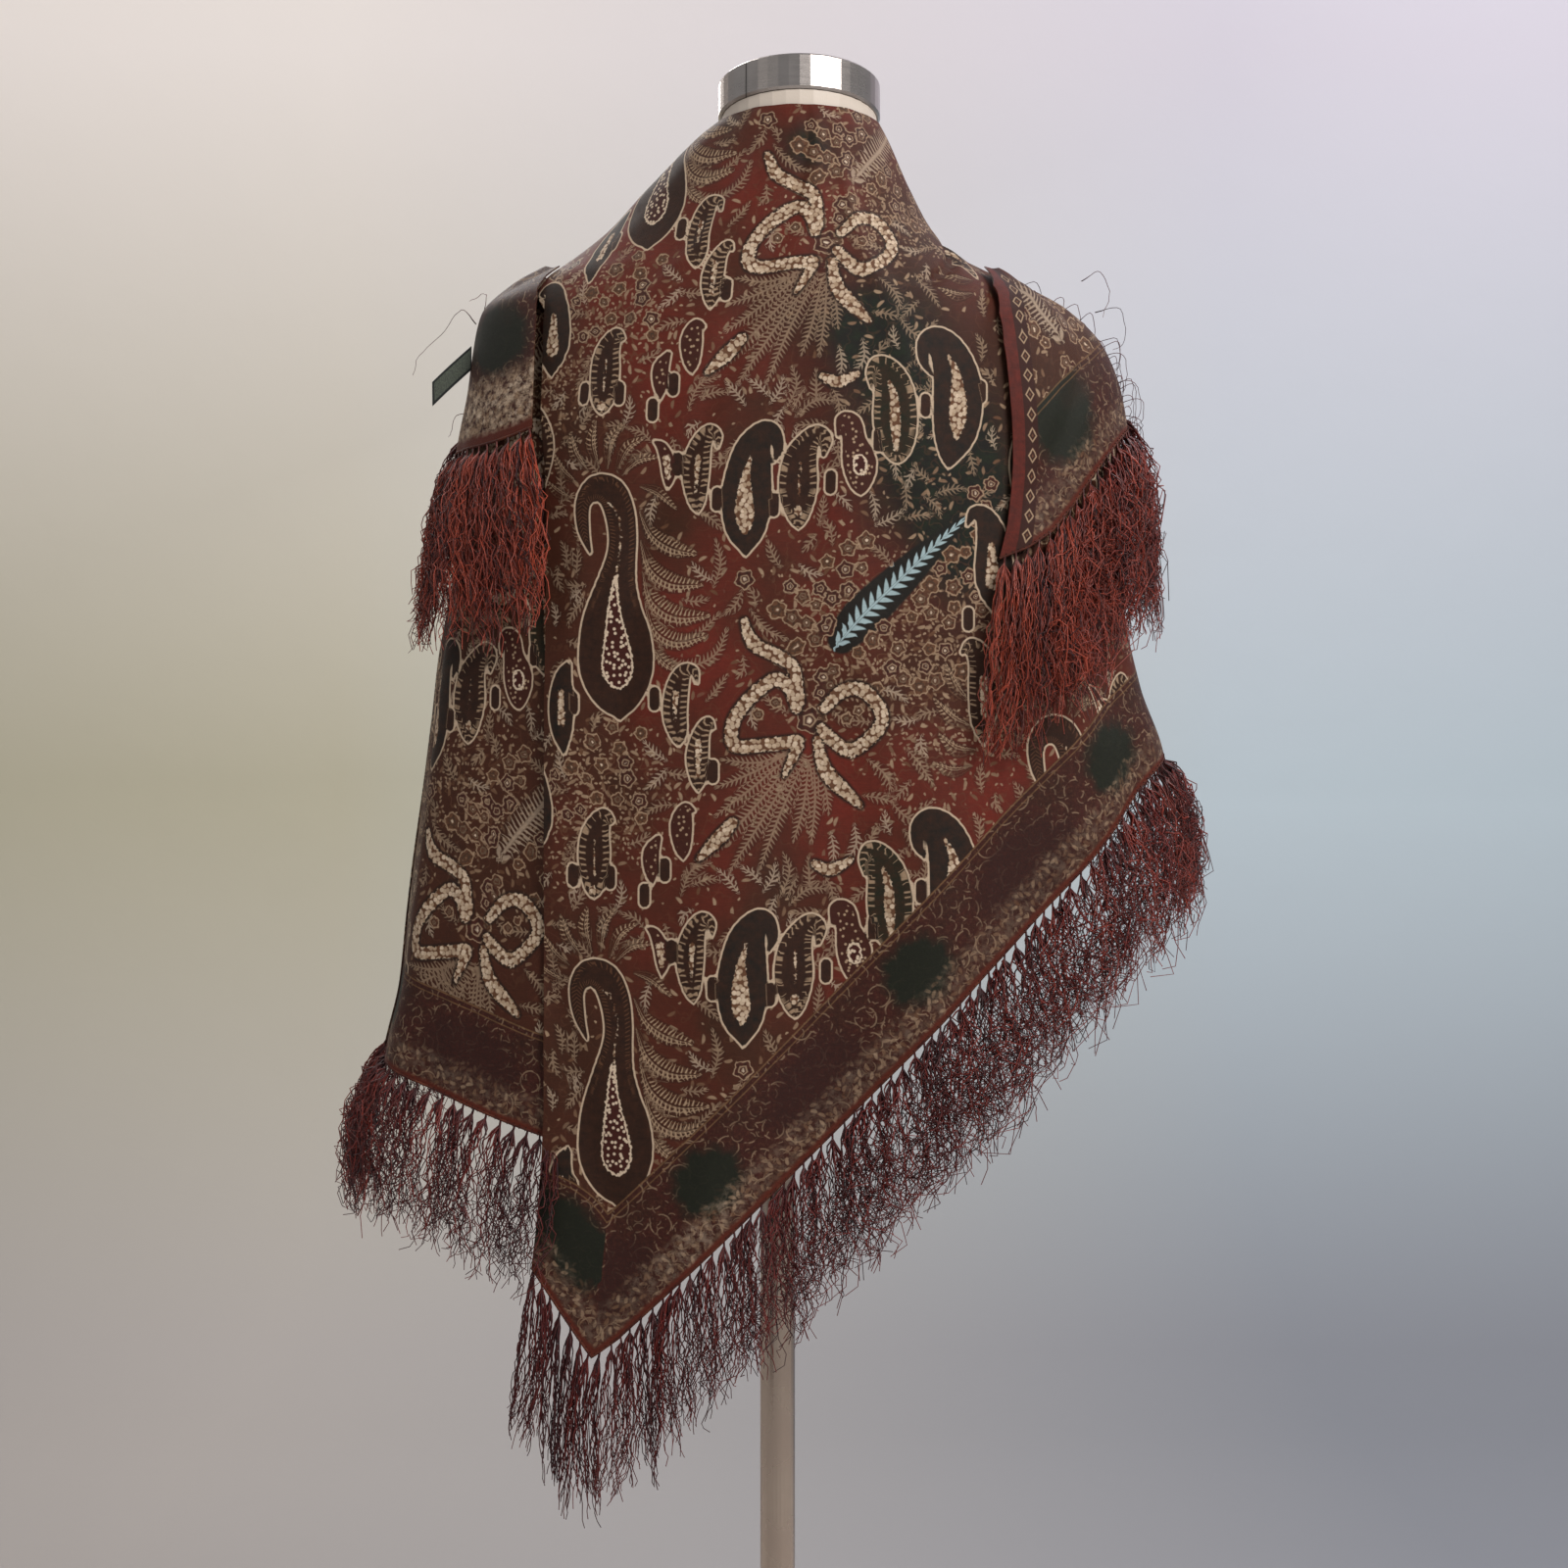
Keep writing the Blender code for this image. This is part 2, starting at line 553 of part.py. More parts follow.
def fringe(name, hem, span, length, strand_lift, splay, material):
    """A row of strands: a narrow strip under a hem, whose every other cell runs down as a strand."""
    size = float(np.linalg.norm(np.diff(hem[0], axis=0), axis=1).sum()) * (span[1] - span[0])
    strands = max(2, round(size / STRAND_PITCH))
    outer, inner, turn, height = hem_part(hem, span[0], span[1], 2 * strands)
    gap = np.array([0.0, 0.0, 1.6 * SEAM])
    drop = np.array([0.0, 0.0, STRIP_DEPTH])
    rings = np.stack((outer - gap, outer - gap - drop, inner - gap - drop, inner - gap), axis=1)
    points = [tuple(point) for ring in rings for point in ring]
    faces = [(0, 3, 2, 1)]
    for cell in range(2 * strands - 1):
        a = cell * 4
        b = a + 4
        faces += [(a, a + 1, b + 1, b), (a + 3, a, b, b + 3), (a + 2, a + 3, b + 3, b + 2)]
        if cell % 2 == 1:
            faces.append((a + 1, a + 2, b + 2, b + 1))
            continue
        ring = [a + 1, b + 1, b + 2, a + 2]
        corners = np.concatenate((rings[cell, 1:3], rings[cell + 1, 1:3]))
        root = corners.mean(axis=0)
        root_turn = 0.5 * (turn[cell] + turn[cell + 1])
        root_place = (np.array([root_turn]), root[2:3])
        stands_out = np.dot(root - cape_surface(*root_place)[0], cape_normal(*root_place)[0])
        root_lift = float(stands_out - fold_depth(*root_place)[0])
        half_root = 0.5 * (rings[cell + 1, 1] - rings[cell, 1])
        number = cell // 2
        wave = math.sin(1.7 * number) + 0.6 * math.sin(0.63 * number + 1.0)
        own_length = length * (1.0 + 0.06 * math.sin(2.9 * number))
        for down, sway in STRAND_JOINTS:
            place = np.array([root_turn + splay * down + wave * sway])
            level = np.array([root[2] - own_length * down])
            wanted = strand_lift(place, level)[0] if strand_lift else root_lift
            centre = cape_points(place, level, [wanted])[0]
            half = np.array([half_root[0], half_root[1], 0.0]) * (1.0 - STRAND_TAPER * down)
            wall = STRIP_WALL + (STRAND_TIP - STRIP_WALL) * down
            depth = cape_normal(place, level)[0] * 0.5 * wall
            first = len(points)
            for corner in (centre - half + depth, centre + half + depth,
                           centre + half - depth, centre - half - depth):
                points.append(tuple(corner))
            new = [first, first + 1, first + 2, first + 3]
            for side in range(4):
                after = (side + 1) % 4
                faces.append((ring[side], new[side], new[after], ring[after]))
            ring = new
        faces.append(tuple(ring))
    last = (2 * strands - 1) * 4
    faces.append((last, last + 1, last + 2, last + 3))
    thing = add_object(name, points, faces, material)
    face_outwards(thing)
    return thing


def point_share(hem):
    """How far along the back panel's hem its low point is."""
    lengths = np.linalg.norm(np.diff(hem[0], axis=0), axis=1)
    return float(lengths[: int(np.argmin(hem[0][:, 2]))].sum() / lengths.sum())


def face_outwards(thing):
    """Turn a closed mesh's faces outwards."""
    shape = bmesh.new()
    shape.from_mesh(thing.data)
    bmesh.ops.recalc_face_normals(shape, faces=shape.faces)
    shape.to_mesh(thing.data)
    shape.free()


def spun_solid(name, profile, sides, material):
    """A turned solid from its profile of radius and height, closed at both ends."""
    points = []
    for radius, height in profile:
        for side in range(sides):
            angle = 2.0 * math.pi * side / sides
            points.append((radius * math.cos(angle), radius * math.sin(angle), height))
    faces = [tuple(range(sides - 1, -1, -1))]
    for ring in range(len(profile) - 1):
        for side in range(sides):
            after = (side + 1) % sides
            a = ring * sides
            b = a + sides
            faces.append((a + side, a + after, b + after, b + side))
    top = (len(profile) - 1) * sides
    faces.append(tuple(top + side for side in range(sides)))
    return add_object(name, points, faces, material)


def form_middle(height):
    """The torso leans a little to the right as it rises."""
    return NECK_X * soft_step((height - FORM_FOOT) / (1.36 - FORM_FOOT))


def torso(material):
    """The dress form: a smooth closed body through its sections, its neck leaning forwards."""
    points = []
    for row in FORM:
        section = dict(zip(FORM_COLUMNS, row))
        height = section["height"]
        square = section["square"]
        middle = float(form_middle(np.array(height)))
        lean = NECK_TILT * float(soft_step(np.array((height - 1.402) / (NECK_TOP - 1.402))))
        for side in range(FORM_SIDES):
            angle = 2.0 * math.pi * side / FORM_SIDES
            across = math.sin(angle)
            out = math.cos(angle)
            x = section["half_width"] * math.copysign(abs(across) ** (2.0 / square), across)
            depth = section["back"] if out < 0 else section["front"]
            y = depth * math.copysign(abs(out) ** (2.0 / square), out)
            points.append((middle - x, y * math.cos(lean), height - y * math.sin(lean)))
    faces = [tuple(range(FORM_SIDES - 1, -1, -1))]
    for ring in range(len(FORM) - 1):
        for side in range(FORM_SIDES):
            after = (side + 1) % FORM_SIDES
            a = ring * FORM_SIDES
            b = a + FORM_SIDES
            faces.append((a + side, a + after, b + after, b + side))
    top = (len(FORM) - 1) * FORM_SIDES
    faces.append(tuple(top + side for side in range(FORM_SIDES)))
    thing = add_object("form_torso", points, faces, material)
    face_outwards(thing)
    return thing


def neck_cap(material):
    """The metal cap on the neck: a straight band with a low crowned lid."""
    bevel = 0.0015
    profile = (
        (CAP_RADIUS - bevel, 0.0),
        (CAP_RADIUS, bevel),
        (CAP_RADIUS, CAP_HEIGHT - bevel),
        (CAP_RADIUS - bevel, CAP_HEIGHT),
        (CAP_RADIUS * 0.70, CAP_HEIGHT + 0.0022),
        (CAP_RADIUS * 0.35, CAP_HEIGHT + 0.0036),
    )
    cap = spun_solid("neck_cap", profile, 48, material)
    turn = Matrix.Rotation(-NECK_TILT, 4, "X")
    seat = Vector((NECK_X, 0.0, NECK_TOP)) + turn @ Vector((0.0, 0.0, SEAM))
    cap.data.transform(Matrix.Translation(seat) @ turn)
    return cap


def pole(material):
    """The straight pole from the base up to the torso."""
    foot = BASE_EDGE + BASE_RISE + SEAM
    return spun_solid("pole", ((POLE_RADIUS, foot), (POLE_RADIUS, FORM_FOOT - SEAM)), 28, material)


def base(material):
    """A plain round foot, flat below and low domed above."""
    rise = []
    for step in range(5):
        part = step / 4.0
        radius = BASE_RADIUS - 0.004 - (BASE_RADIUS - 0.004 - 0.022) * part
        rise.append((radius, BASE_EDGE + BASE_RISE * (1.0 - (1.0 - part) ** 2)))
    profile = [(BASE_RADIUS - 0.001, 0.0), (BASE_RADIUS, 0.001), (BASE_RADIUS, BASE_EDGE - 0.002)] + rise
    return spun_solid("base", profile, 48, material)


def label(material):
    """The small blank label that sticks out at the left shoulder."""
    shape = bmesh.new()
    bmesh.ops.create_cube(shape, size=1.0)
    bmesh.ops.scale(shape, vec=Vector((LABEL_REACH, LABEL_WALL, LABEL_WIDTH)), verts=shape.verts)
    bmesh.ops.translate(shape, vec=Vector((-LABEL_REACH / 2.0, 0.0, 0.0)), verts=shape.verts)
    for corner in shape.verts:
        corner.co.z += corner.co.x * LABEL_DROP / LABEL_REACH
    mesh = bpy.data.meshes.new("label")
    shape.to_mesh(mesh)
    shape.free()
    mesh.materials.append(material)
    thing = bpy.data.objects.new("label", mesh)
    bpy.context.collection.objects.link(thing)
    thing.location = Vector(LABEL_START)
    return thing


def under_strand_lift(turn, height):
    """The first end's strands hang over the other end on the right, and under it on the left."""
    return np.where(turn < STRANDS_OVER, 2.0 * LAYER, 0.4 * LAYER)


def build():
    """Make every piece."""
    clear_scene()
    finish = make_materials()
    cloth = finish["printed_cloth"]
    yarn = finish["fringe_yarn"]
    metal = finish["polished_metal"]
    back_columns = back_steps(30)
    back = cloth_panel("shawl_back", back_places, no_lift, back_columns, 24, cloth)
    left = cloth_panel("shawl_left", left_places, left_lift, even_steps(9), 18, cloth)
    under = cloth_panel("shawl_front_under", front_under_places, under_lift, even_steps(26), 14, cloth)
    right_flap = cloth_panel("shawl_right_flap", right_flap_places, right_flap_lift, even_steps(8), 10, cloth)
    over = cloth_panel("shawl_front_over", front_over_places, over_lift, even_steps(26), 8, cloth)
    left_flap = cloth_panel("shawl_left_flap", left_flap_places, left_flap_lift, even_steps(6), 7, cloth)
    low = point_share(back)
    fringe("fringe_back", back, (low + 0.010, 0.992), STRAND_LENGTH, None, 0.0, yarn)
    fringe("fringe_point", back, (0.002, low - 0.010), STRAND_LENGTH, None, -0.02, yarn)
    fringe("fringe_left", left, (0.01, 0.92), SHORT_STRAND, None, -0.03, yarn)
    fringe("fringe_right_flap", right_flap, (0.02, 0.98), FLAP_STRAND, None, -0.06, yarn)
    fringe("fringe_left_flap", left_flap, (0.02, 0.98), FLAP_STRAND, None, 0.10, yarn)
    fringe("fringe_front_under", under, (0.005, 0.995), STRAND_LENGTH, under_strand_lift, 0.0, yarn)
    fringe("fringe_front_over", over, (0.005, 0.995), STRAND_LENGTH, None, 0.0, yarn)
    torso(finish["form_cream"])
    neck_cap(metal)
    pole(metal)
    base(metal)
    label(finish["label_cloth"])


build()
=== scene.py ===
# %% [markdown]
# # A fringed paisley shawl on a dress form
#
# The object is one triangle of thin printed cloth with a knotted fringe along its two short sides. It is
# wound round a limbless dress form, so its low point hangs on the back and both ends come back over the
# shoulders. Each step below makes one thing, and the text before it says what that thing is on the real
# object, how it could be made, and why it is made this way.

# %% Load the packed model as a fixed frame
import math

import bpy
import numpy as np
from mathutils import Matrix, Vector


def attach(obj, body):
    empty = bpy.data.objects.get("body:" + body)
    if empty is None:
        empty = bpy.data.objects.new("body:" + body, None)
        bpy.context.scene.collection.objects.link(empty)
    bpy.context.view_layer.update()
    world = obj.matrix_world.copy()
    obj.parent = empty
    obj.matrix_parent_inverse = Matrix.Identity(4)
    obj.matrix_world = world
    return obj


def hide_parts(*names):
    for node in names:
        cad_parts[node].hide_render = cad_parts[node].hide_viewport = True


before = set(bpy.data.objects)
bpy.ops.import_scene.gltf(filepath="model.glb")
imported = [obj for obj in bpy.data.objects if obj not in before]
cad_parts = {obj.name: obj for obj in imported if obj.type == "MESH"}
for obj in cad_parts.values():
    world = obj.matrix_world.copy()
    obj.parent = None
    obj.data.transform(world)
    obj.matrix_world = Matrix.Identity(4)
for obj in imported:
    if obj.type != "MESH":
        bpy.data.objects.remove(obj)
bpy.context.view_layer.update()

# %% [markdown]
# ## The camera
#
# The picture was taken level with the middle of the back, from about 1.6 m away. A level camera needs no
# shift, and its lens follows from the width of the neck cap, whose real size is known.

# %% Camera
CAMERA_PLACE, LENS = (0.0045, -1.62, 1.0), 52.8
lens = bpy.data.cameras.new("camera")
lens.lens = LENS
lens.sensor_width = 36.0
lens.clip_start = 0.05
camera = bpy.data.objects.new("camera", lens)
camera.location = CAMERA_PLACE
camera.rotation_euler = (math.radians(90.0), 0.0, 0.0)
bpy.context.collection.objects.link(camera)
bpy.context.scene.camera = camera
print("camera", tuple(camera.location), "lens", lens.lens)

# %% [markdown]
# ## The surface that the cloth hangs in
#
# Every stretch of the shawl follows one surface, the cape. It is given by sections at heights, which are
# the same as in the solid model, so that the thin cloth lies exactly on its solid. A place on it is a turn
# and a height: a turn of 0 is the middle of the back, 1 is the right side, 2 the middle of the front, and
# -1 or 3 the left side. A cloth simulation could drape a flat triangle too, but it would settle in other
# folds than the real ones, and a surface from sections is exact and quick.

# %% The cape's sections and main folds
CAPE_COLUMNS = ("height", "middle", "left", "right", "back", "front", "square")
CAPE = (
    (0.480, 0.000, -0.292, 0.280, 0.124, 0.140, 2.3), (0.620, 0.000, -0.290, 0.280, 0.124, 0.142, 2.3),
    (0.740, 0.000, -0.285, 0.280, 0.126, 0.144, 2.3), (0.814, 0.000, -0.2775, 0.280, 0.127, 0.145, 2.3),
    (0.862, 0.000, -0.2665, 0.280, 0.127, 0.146, 2.3), (0.910, 0.000, -0.2615, 0.279, 0.127, 0.147, 2.3),
    (0.965, 0.000, -0.2545, 0.277, 0.127, 0.148, 2.3), (1.021, 0.000, -0.2470, 0.2705, 0.127, 0.149, 2.3),
    (1.068, 0.000, -0.2405, 0.2535, 0.127, 0.150, 2.3), (1.110, 0.000, -0.2335, 0.2445, 0.127, 0.151, 2.3),
    (1.138, 0.001, -0.2285, 0.2420, 0.126, 0.151, 2.3), (1.200, 0.003, -0.2220, 0.2400, 0.124, 0.150, 2.2),
    (1.240, 0.004, -0.2160, 0.2380, 0.121, 0.144, 2.2), (1.270, 0.005, -0.2105, 0.2350, 0.118, 0.136, 2.1),
    (1.300, 0.006, -0.2065, 0.2250, 0.113, 0.126, 2.0), (1.325, 0.008, -0.2015, 0.2020, 0.107, 0.116, 1.9),
    (1.345, 0.010, -0.1820, 0.1660, 0.101, 0.107, 1.8), (1.362, 0.012, -0.1520, 0.1375, 0.095, 0.099, 1.75),
    (1.387, 0.014, -0.1190, 0.1090, 0.086, 0.088, 1.8), (1.414, 0.015, -0.0945, 0.0945, 0.076, 0.077, 1.9),
    (1.449, 0.0152, -0.0600, 0.0790, 0.062, 0.063, 2.0), (1.463, 0.0152, -0.0413, 0.0717, 0.0565, 0.0570, 2.0),
)
FOLD_COLUMNS = ("top_turn", "top_height", "low_turn", "low_height", "width", "depth")
FOLDS = (
    (1.08, 1.392, 0.42, 1.335, 0.010, -0.0055), (1.08, 1.374, 0.60, 1.310, 0.011, 0.0025),
    (0.52, 1.190, 0.66, 0.900, 0.026, 0.0045), (0.70, 1.150, 0.80, 0.950, 0.024, -0.0050),
    (0.30, 1.000, 0.34, 0.700, 0.030, 0.0040), (0.12, 1.050, 0.10, 0.650, 0.034, -0.0035),
    (-0.10, 0.950, -0.14, 0.600, 0.030, 0.0045), (-0.78, 1.100, -0.80, 0.760, 0.022, 0.0055),
    (-0.90, 1.050, -0.94, 0.780, 0.020, -0.0040), (2.80, 1.150, 2.75, 0.800, 0.030, 0.0060),
    (2.45, 1.250, 2.35, 0.900, 0.034, -0.0050), (2.15, 1.300, 1.95, 1.000, 0.036, 0.0050),
)
print("sections", len(CAPE), "folds", len(FOLDS))


# %% Smooth lines through tables, and points of the cape
def smooth_line(places, values, wanted):
    """Values along a smooth curve through a table's rows, with no overshoot between them."""
    places = np.asarray(places, dtype=float)
    values = np.asarray(values, dtype=float)
    wanted = np.clip(np.asarray(wanted, dtype=float), places[0], places[-1])
    steps = np.diff(places)
    slopes = np.diff(values) / steps
    before, after = slopes[:-1], slopes[1:]
    total = np.where(np.abs(before + after) < 1e-12, 1.0, before + after)
    inner = np.where(before * after > 0.0, 2.0 * before * after / total, 0.0)
    tangents = np.concatenate(([slopes[0]], inner, [slopes[-1]]))
    index = np.clip(np.searchsorted(places, wanted, side="right") - 1, 0, len(steps) - 1)
    t = (wanted - places[index]) / steps[index]
    rise = values[index + 1] - values[index]
    start, end = tangents[index] * steps[index], tangents[index + 1] * steps[index]
    return values[index] + start * t + (3 * rise - 2 * start - end) * t**2 + (start + end - 2 * rise) * t**3


def table_line(rows, wanted):
    """A smooth curve through rows of two columns."""
    return smooth_line([row[0] for row in rows], [row[1] for row in rows], wanted)


def cape_surface(turn, height):
    """Points of the bare cape. A turn is measured along a section's own length, quarter by quarter."""
    heights = [row[0] for row in CAPE]
    section = {}
    for column, name in enumerate(CAPE_COLUMNS[1:], start=1):
        section[name] = smooth_line(heights, [row[column] for row in CAPE], height)
    whole = np.floor(turn + 1.0)
    quarter = whole.astype(int) % 4
    part = turn + 1.0 - whole
    on_right = (quarter == 1) | (quarter == 2)
    on_back = quarter <= 1
    part = np.where((quarter == 1) | (quarter == 3), part, 1.0 - part)
    half_width = np.where(on_right, section["right"] - section["middle"], section["middle"] - section["left"])
    depth = np.where(on_back, section["back"], section["front"])
    angle = np.linspace(0.0, math.pi / 2.0, 64)
    power = (2.0 / section["square"])[:, None]
    across = half_width[:, None] * np.sin(angle)[None, :] ** power
    out = depth[:, None] * np.cos(angle)[None, :] ** power
    steps = np.hypot(np.diff(across, axis=1), np.diff(out, axis=1))
    along = np.concatenate((np.zeros((len(part), 1)), np.cumsum(steps, axis=1)), axis=1)
    wanted = part[:, None] * along[:, -1:]
    index = np.clip((along < wanted).sum(axis=1) - 1, 0, 62)[:, None]
    low = np.take_along_axis(along, index, axis=1)
    t = (wanted - low) / np.maximum(np.take_along_axis(along, index + 1, axis=1) - low, 1e-9)
    x, y = [(np.take_along_axis(line, index, axis=1) * (1 - t)
             + np.take_along_axis(line, index + 1, axis=1) * t)[:, 0] for line in (across, out)]
    return np.stack((section["middle"] + np.where(on_right, x, -x), np.where(on_back, -y, y), height), axis=1)


def cape_normal(turn, height):
    """Outward directions of the cape."""
    sideways = cape_surface(turn + 0.02, height) - cape_surface(turn - 0.02, height)
    upwards = cape_surface(turn, height + 0.004) - cape_surface(turn, height - 0.004)
    normal = np.cross(sideways, upwards)
    return normal / np.linalg.norm(normal, axis=1)[:, None]


def soft_step(value):
    """A smooth rise from 0 to 1."""
    value = np.clip(value, 0.0, 1.0)
    return value * value * (3.0 - 2.0 * value)


def turn_at(x, height):
    """The turn on the back at which the cape has this x."""
    low, high = np.full(height.shape, -1.0), np.full(height.shape, 1.0)
    for _ in range(26):
        mid = (low + high) / 2.0
        below = cape_surface(mid, height)[:, 0] < x
        low, high = np.where(below, mid, low), np.where(below, high, mid)
    return (low + high) / 2.0


print("widest section", round(float(np.ptp(cape_surface(np.array([-1.0, 1.0]), np.array([0.6, 0.6]))[:, 0])), 3))

# %% [markdown]
# ## Folds
#
# The main folds are in the solid model. The thin cloth adds the finer ones: soft creases that run down from
# the shoulders, pulls towards the pleat, and a slight unevenness all over. Each is one row of a table, placed
# where the light shows it, and a fold fades in and out along its own length.

# %% Fine creases
# Metres of cloth to one turn, about
TURN_LENGTH = 0.28
CREASES = (
    (0.05, 1.440, -0.30, 1.150, 0.012, -0.0012), (-0.22, 1.430, -0.52, 1.200, 0.011, 0.0012),
    (0.25, 1.420, 0.30, 1.180, 0.012, 0.0012), (0.85, 1.330, 0.55, 1.180, 0.010, -0.0014),
    (0.95, 1.250, 0.62, 1.060, 0.012, 0.0014), (0.10, 1.300, 0.20, 1.000, 0.014, 0.0010),
    (-0.28, 1.250, -0.38, 0.900, 0.012, -0.0011), (-0.45, 1.150, -0.50, 0.800, 0.011, 0.0013),
    (-0.52, 0.950, -0.30, 0.700, 0.010, -0.0013), (0.00, 0.900, -0.22, 0.640, 0.012, 0.0012),
    (0.48, 1.050, 0.36, 0.800, 0.012, -0.0013), (0.62, 0.980, 0.50, 0.840, 0.010, 0.0011),
    (-0.88, 1.220, -0.86, 0.900, 0.009, -0.0014), (-0.70, 1.050, -0.68, 0.800, 0.009, 0.0012),
    (1.30, 1.330, 1.20, 1.000, 0.014, 0.0014), (1.55, 1.340, 1.60, 1.050, 0.014, -0.0014),
    (1.85, 1.350, 1.75, 1.000, 0.014, 0.0014), (2.25, 1.350, 2.20, 0.950, 0.014, -0.0014),
    (2.60, 1.350, 2.60, 0.850, 0.014, 0.0014), (2.90, 1.300, 2.88, 0.850, 0.012, -0.0014),
)


def fold_depth(turn, height, table=FOLDS):
    """How far the folds of a table move the cloth outwards."""
    depth = np.zeros_like(height)
    for row in table:
        fold = dict(zip(FOLD_COLUMNS, row))
        down = (fold["top_height"] - height) / (fold["top_height"] - fold["low_height"])
        line = fold["top_turn"] + (fold["low_turn"] - fold["top_turn"]) * np.clip(down, 0.0, 1.0)
        aside = (turn - line) * TURN_LENGTH / fold["width"]
        fade = soft_step(down * 3.0 + 0.6) * soft_step((1.15 - down) * 3.0)
        depth = depth + fold["depth"] * fade * np.exp(-aside * aside)
    return depth


def unevenness(turn, height):
    """Soft waves of a millimetre or less, as thin cloth has everywhere."""
    side = turn * TURN_LENGTH
    wave = np.sin(61.0 * side + 23.0 * height + 2.0 * np.sin(17.0 * height))
    wave = wave + 0.7 * np.sin(97.0 * side - 41.0 * height + 1.3) + 0.5 * np.sin(38.0 * side + 67.0 * height)
    return 0.00028 * wave


def cape_points(turn, height, lift, fine=1.0):
    """Points of the cloth, lifted off the cape. With fine at 0 only the solid's own folds are used."""
    out = lift + fold_depth(turn, height)
    if fine:
        out = out + fine * (1.7 * fold_depth(turn, height, CREASES) + unevenness(turn, height))
    return cape_surface(turn, height) + cape_normal(turn, height) * out[:, None]


print("deepest crease, mm", round(1000 * max(abs(row[-1]) for row in CREASES), 2))

# %% [markdown]
# ## The stretches of cloth
#
# The shawl is one cut, but as it is wound six stretches of it show. Each has its own edges on the cape,
# which are lines in short tables, and its own lift, because it lies on or under its neighbours. These
# tables are the solid model's own.

# %% Edges of the stretches
HEM_UNDER = ((1.0, 1.262), (1.2, 1.250), (1.4, 1.210), (1.6, 1.165), (1.8, 1.110),
             (2.0, 1.045), (2.3, 0.955), (2.6, 0.885), (2.9, 0.826), (3.1, 0.812))
TOP_UNDER = ((1.0, 1.352), (1.3, 1.352), (1.6, 1.352), (2.0, 1.372), (2.4, 1.410), (2.75, 1.442), (3.1, 1.460))
HEM_OVER = ((0.95, 1.019), (1.1, 1.022), (1.3, 1.034), (1.5, 1.060), (1.7, 1.098), (1.85, 1.128),
            (2.0, 1.160), (2.3, 1.215), (2.6, 1.252), (2.9, 1.250), (3.1, 1.235))
TOP_OVER = ((0.95, 1.235), (1.2, 1.222), (1.4, 1.178), (1.6, 1.136), (1.75, 1.140), (1.9, 1.190),
            (2.1, 1.262), (2.4, 1.325), (2.7, 1.350), (3.1, 1.357))
HEM_LEFT = ((-1.1, 0.812), (-0.95, 0.815), (-0.75, 0.800), (-0.55, 0.778), (-0.35, 0.758))
NECKLINE = ((-1.2, 1.4605), (-1.0, 1.4610), (0.0, 1.4625), (1.0, 1.4600), (1.3, 1.4520), (1.7, 1.4200))
LOW_POINT = (-0.120, 0.623)
PLEAT_FOOT = (-0.1616, 0.6824)
HEM_RIGHT = (0.2705, 1.0210)
PLEAT_EDGE = ((0.620, -0.1640), (0.682, -0.1616), (0.720, -0.1570), (0.800, -0.1530), (1.190, -0.1530),
              (1.245, -0.1572), (1.350, -0.1580))
RIGHT_FLAP_EDGE = ((1.148, 0.1430), (1.170, 0.1480), (1.223, 0.1530), (1.262, 0.1510),
                   (1.300, 0.1470), (1.352, 0.1400))
RIGHT_FLAP_HEM = ((0.140, 1.146), (0.170, 1.160), (0.195, 1.187), (0.208, 1.207), (0.232, 1.240), (0.246, 1.262))
LEFT_FLAP_HEM = ((-0.235, 1.230), (-0.200, 1.228), (-0.180, 1.230), (-0.160, 1.236))
LEFT_FLAP_X, LEFT_CREST, RIGHT_CREST = -0.1590, 1.357, 1.352
# The turn at which the back panel meets the end that goes over
RIGHT_JOIN = 1.03
LAYER, OVER_LAYER, WALL, EDGE = 0.0060, 0.0075, 0.0009, 0.0006


def fit_places(across, down, turn, height, edges, ends):
    """Turns and heights of a stretch between its side edges and its top and hem, in a few rounds."""
    for _ in range(14):
        left, right = edges(height)
        turn = left + (right - left) * across
        top, hem = ends(turn, height)
        height = 0.5 * height + 0.5 * (top + (hem - top) * down)
    return turn, height


def back_hem(x):
    """The height of the back panel's hem at an x, and level past the side."""
    rise = (x - LOW_POINT[0]) / (HEM_RIGHT[0] - LOW_POINT[0])
    right = LOW_POINT[1] + (HEM_RIGHT[1] - LOW_POINT[1]) * rise - 0.010 * np.sin(math.pi * np.clip(rise, 0, 1))
    slope = (PLEAT_FOOT[1] - LOW_POINT[1]) / (PLEAT_FOOT[0] - LOW_POINT[0])
    left = LOW_POINT[1] + (x - LOW_POINT[0]) * slope
    return np.where(x < LOW_POINT[0], left, np.minimum(right, HEM_RIGHT[1]))


def back_places(across, down):
    """The wide panel on the back, from the pleat to the right arm."""
    def edges(height):
        pleat = turn_at(table_line(PLEAT_EDGE, height), height)
        return np.maximum(pleat, -1.0 + EDGE), RIGHT_JOIN - EDGE + 0.42 * soft_step((height - 1.285) / 0.060)

    def ends(turn, height):
        return table_line(NECKLINE, turn), back_hem(cape_surface(turn, height)[:, 0])

    return fit_places(across, down, -0.6 + 1.6 * across, 1.46 - 0.5 * down, edges, ends)


def left_places(across, down):
    """The stretch behind the pleat, round the left arm."""
    def edges(height):
        return np.full_like(height, -1.0), turn_at(table_line(PLEAT_EDGE, height) + 0.026, height)

    def ends(turn, height):
        return LEFT_CREST, table_line(HEM_LEFT, turn)

    return fit_places(across, down, -1.0 + 0.6 * across, 1.34 - 0.5 * down, edges, ends)


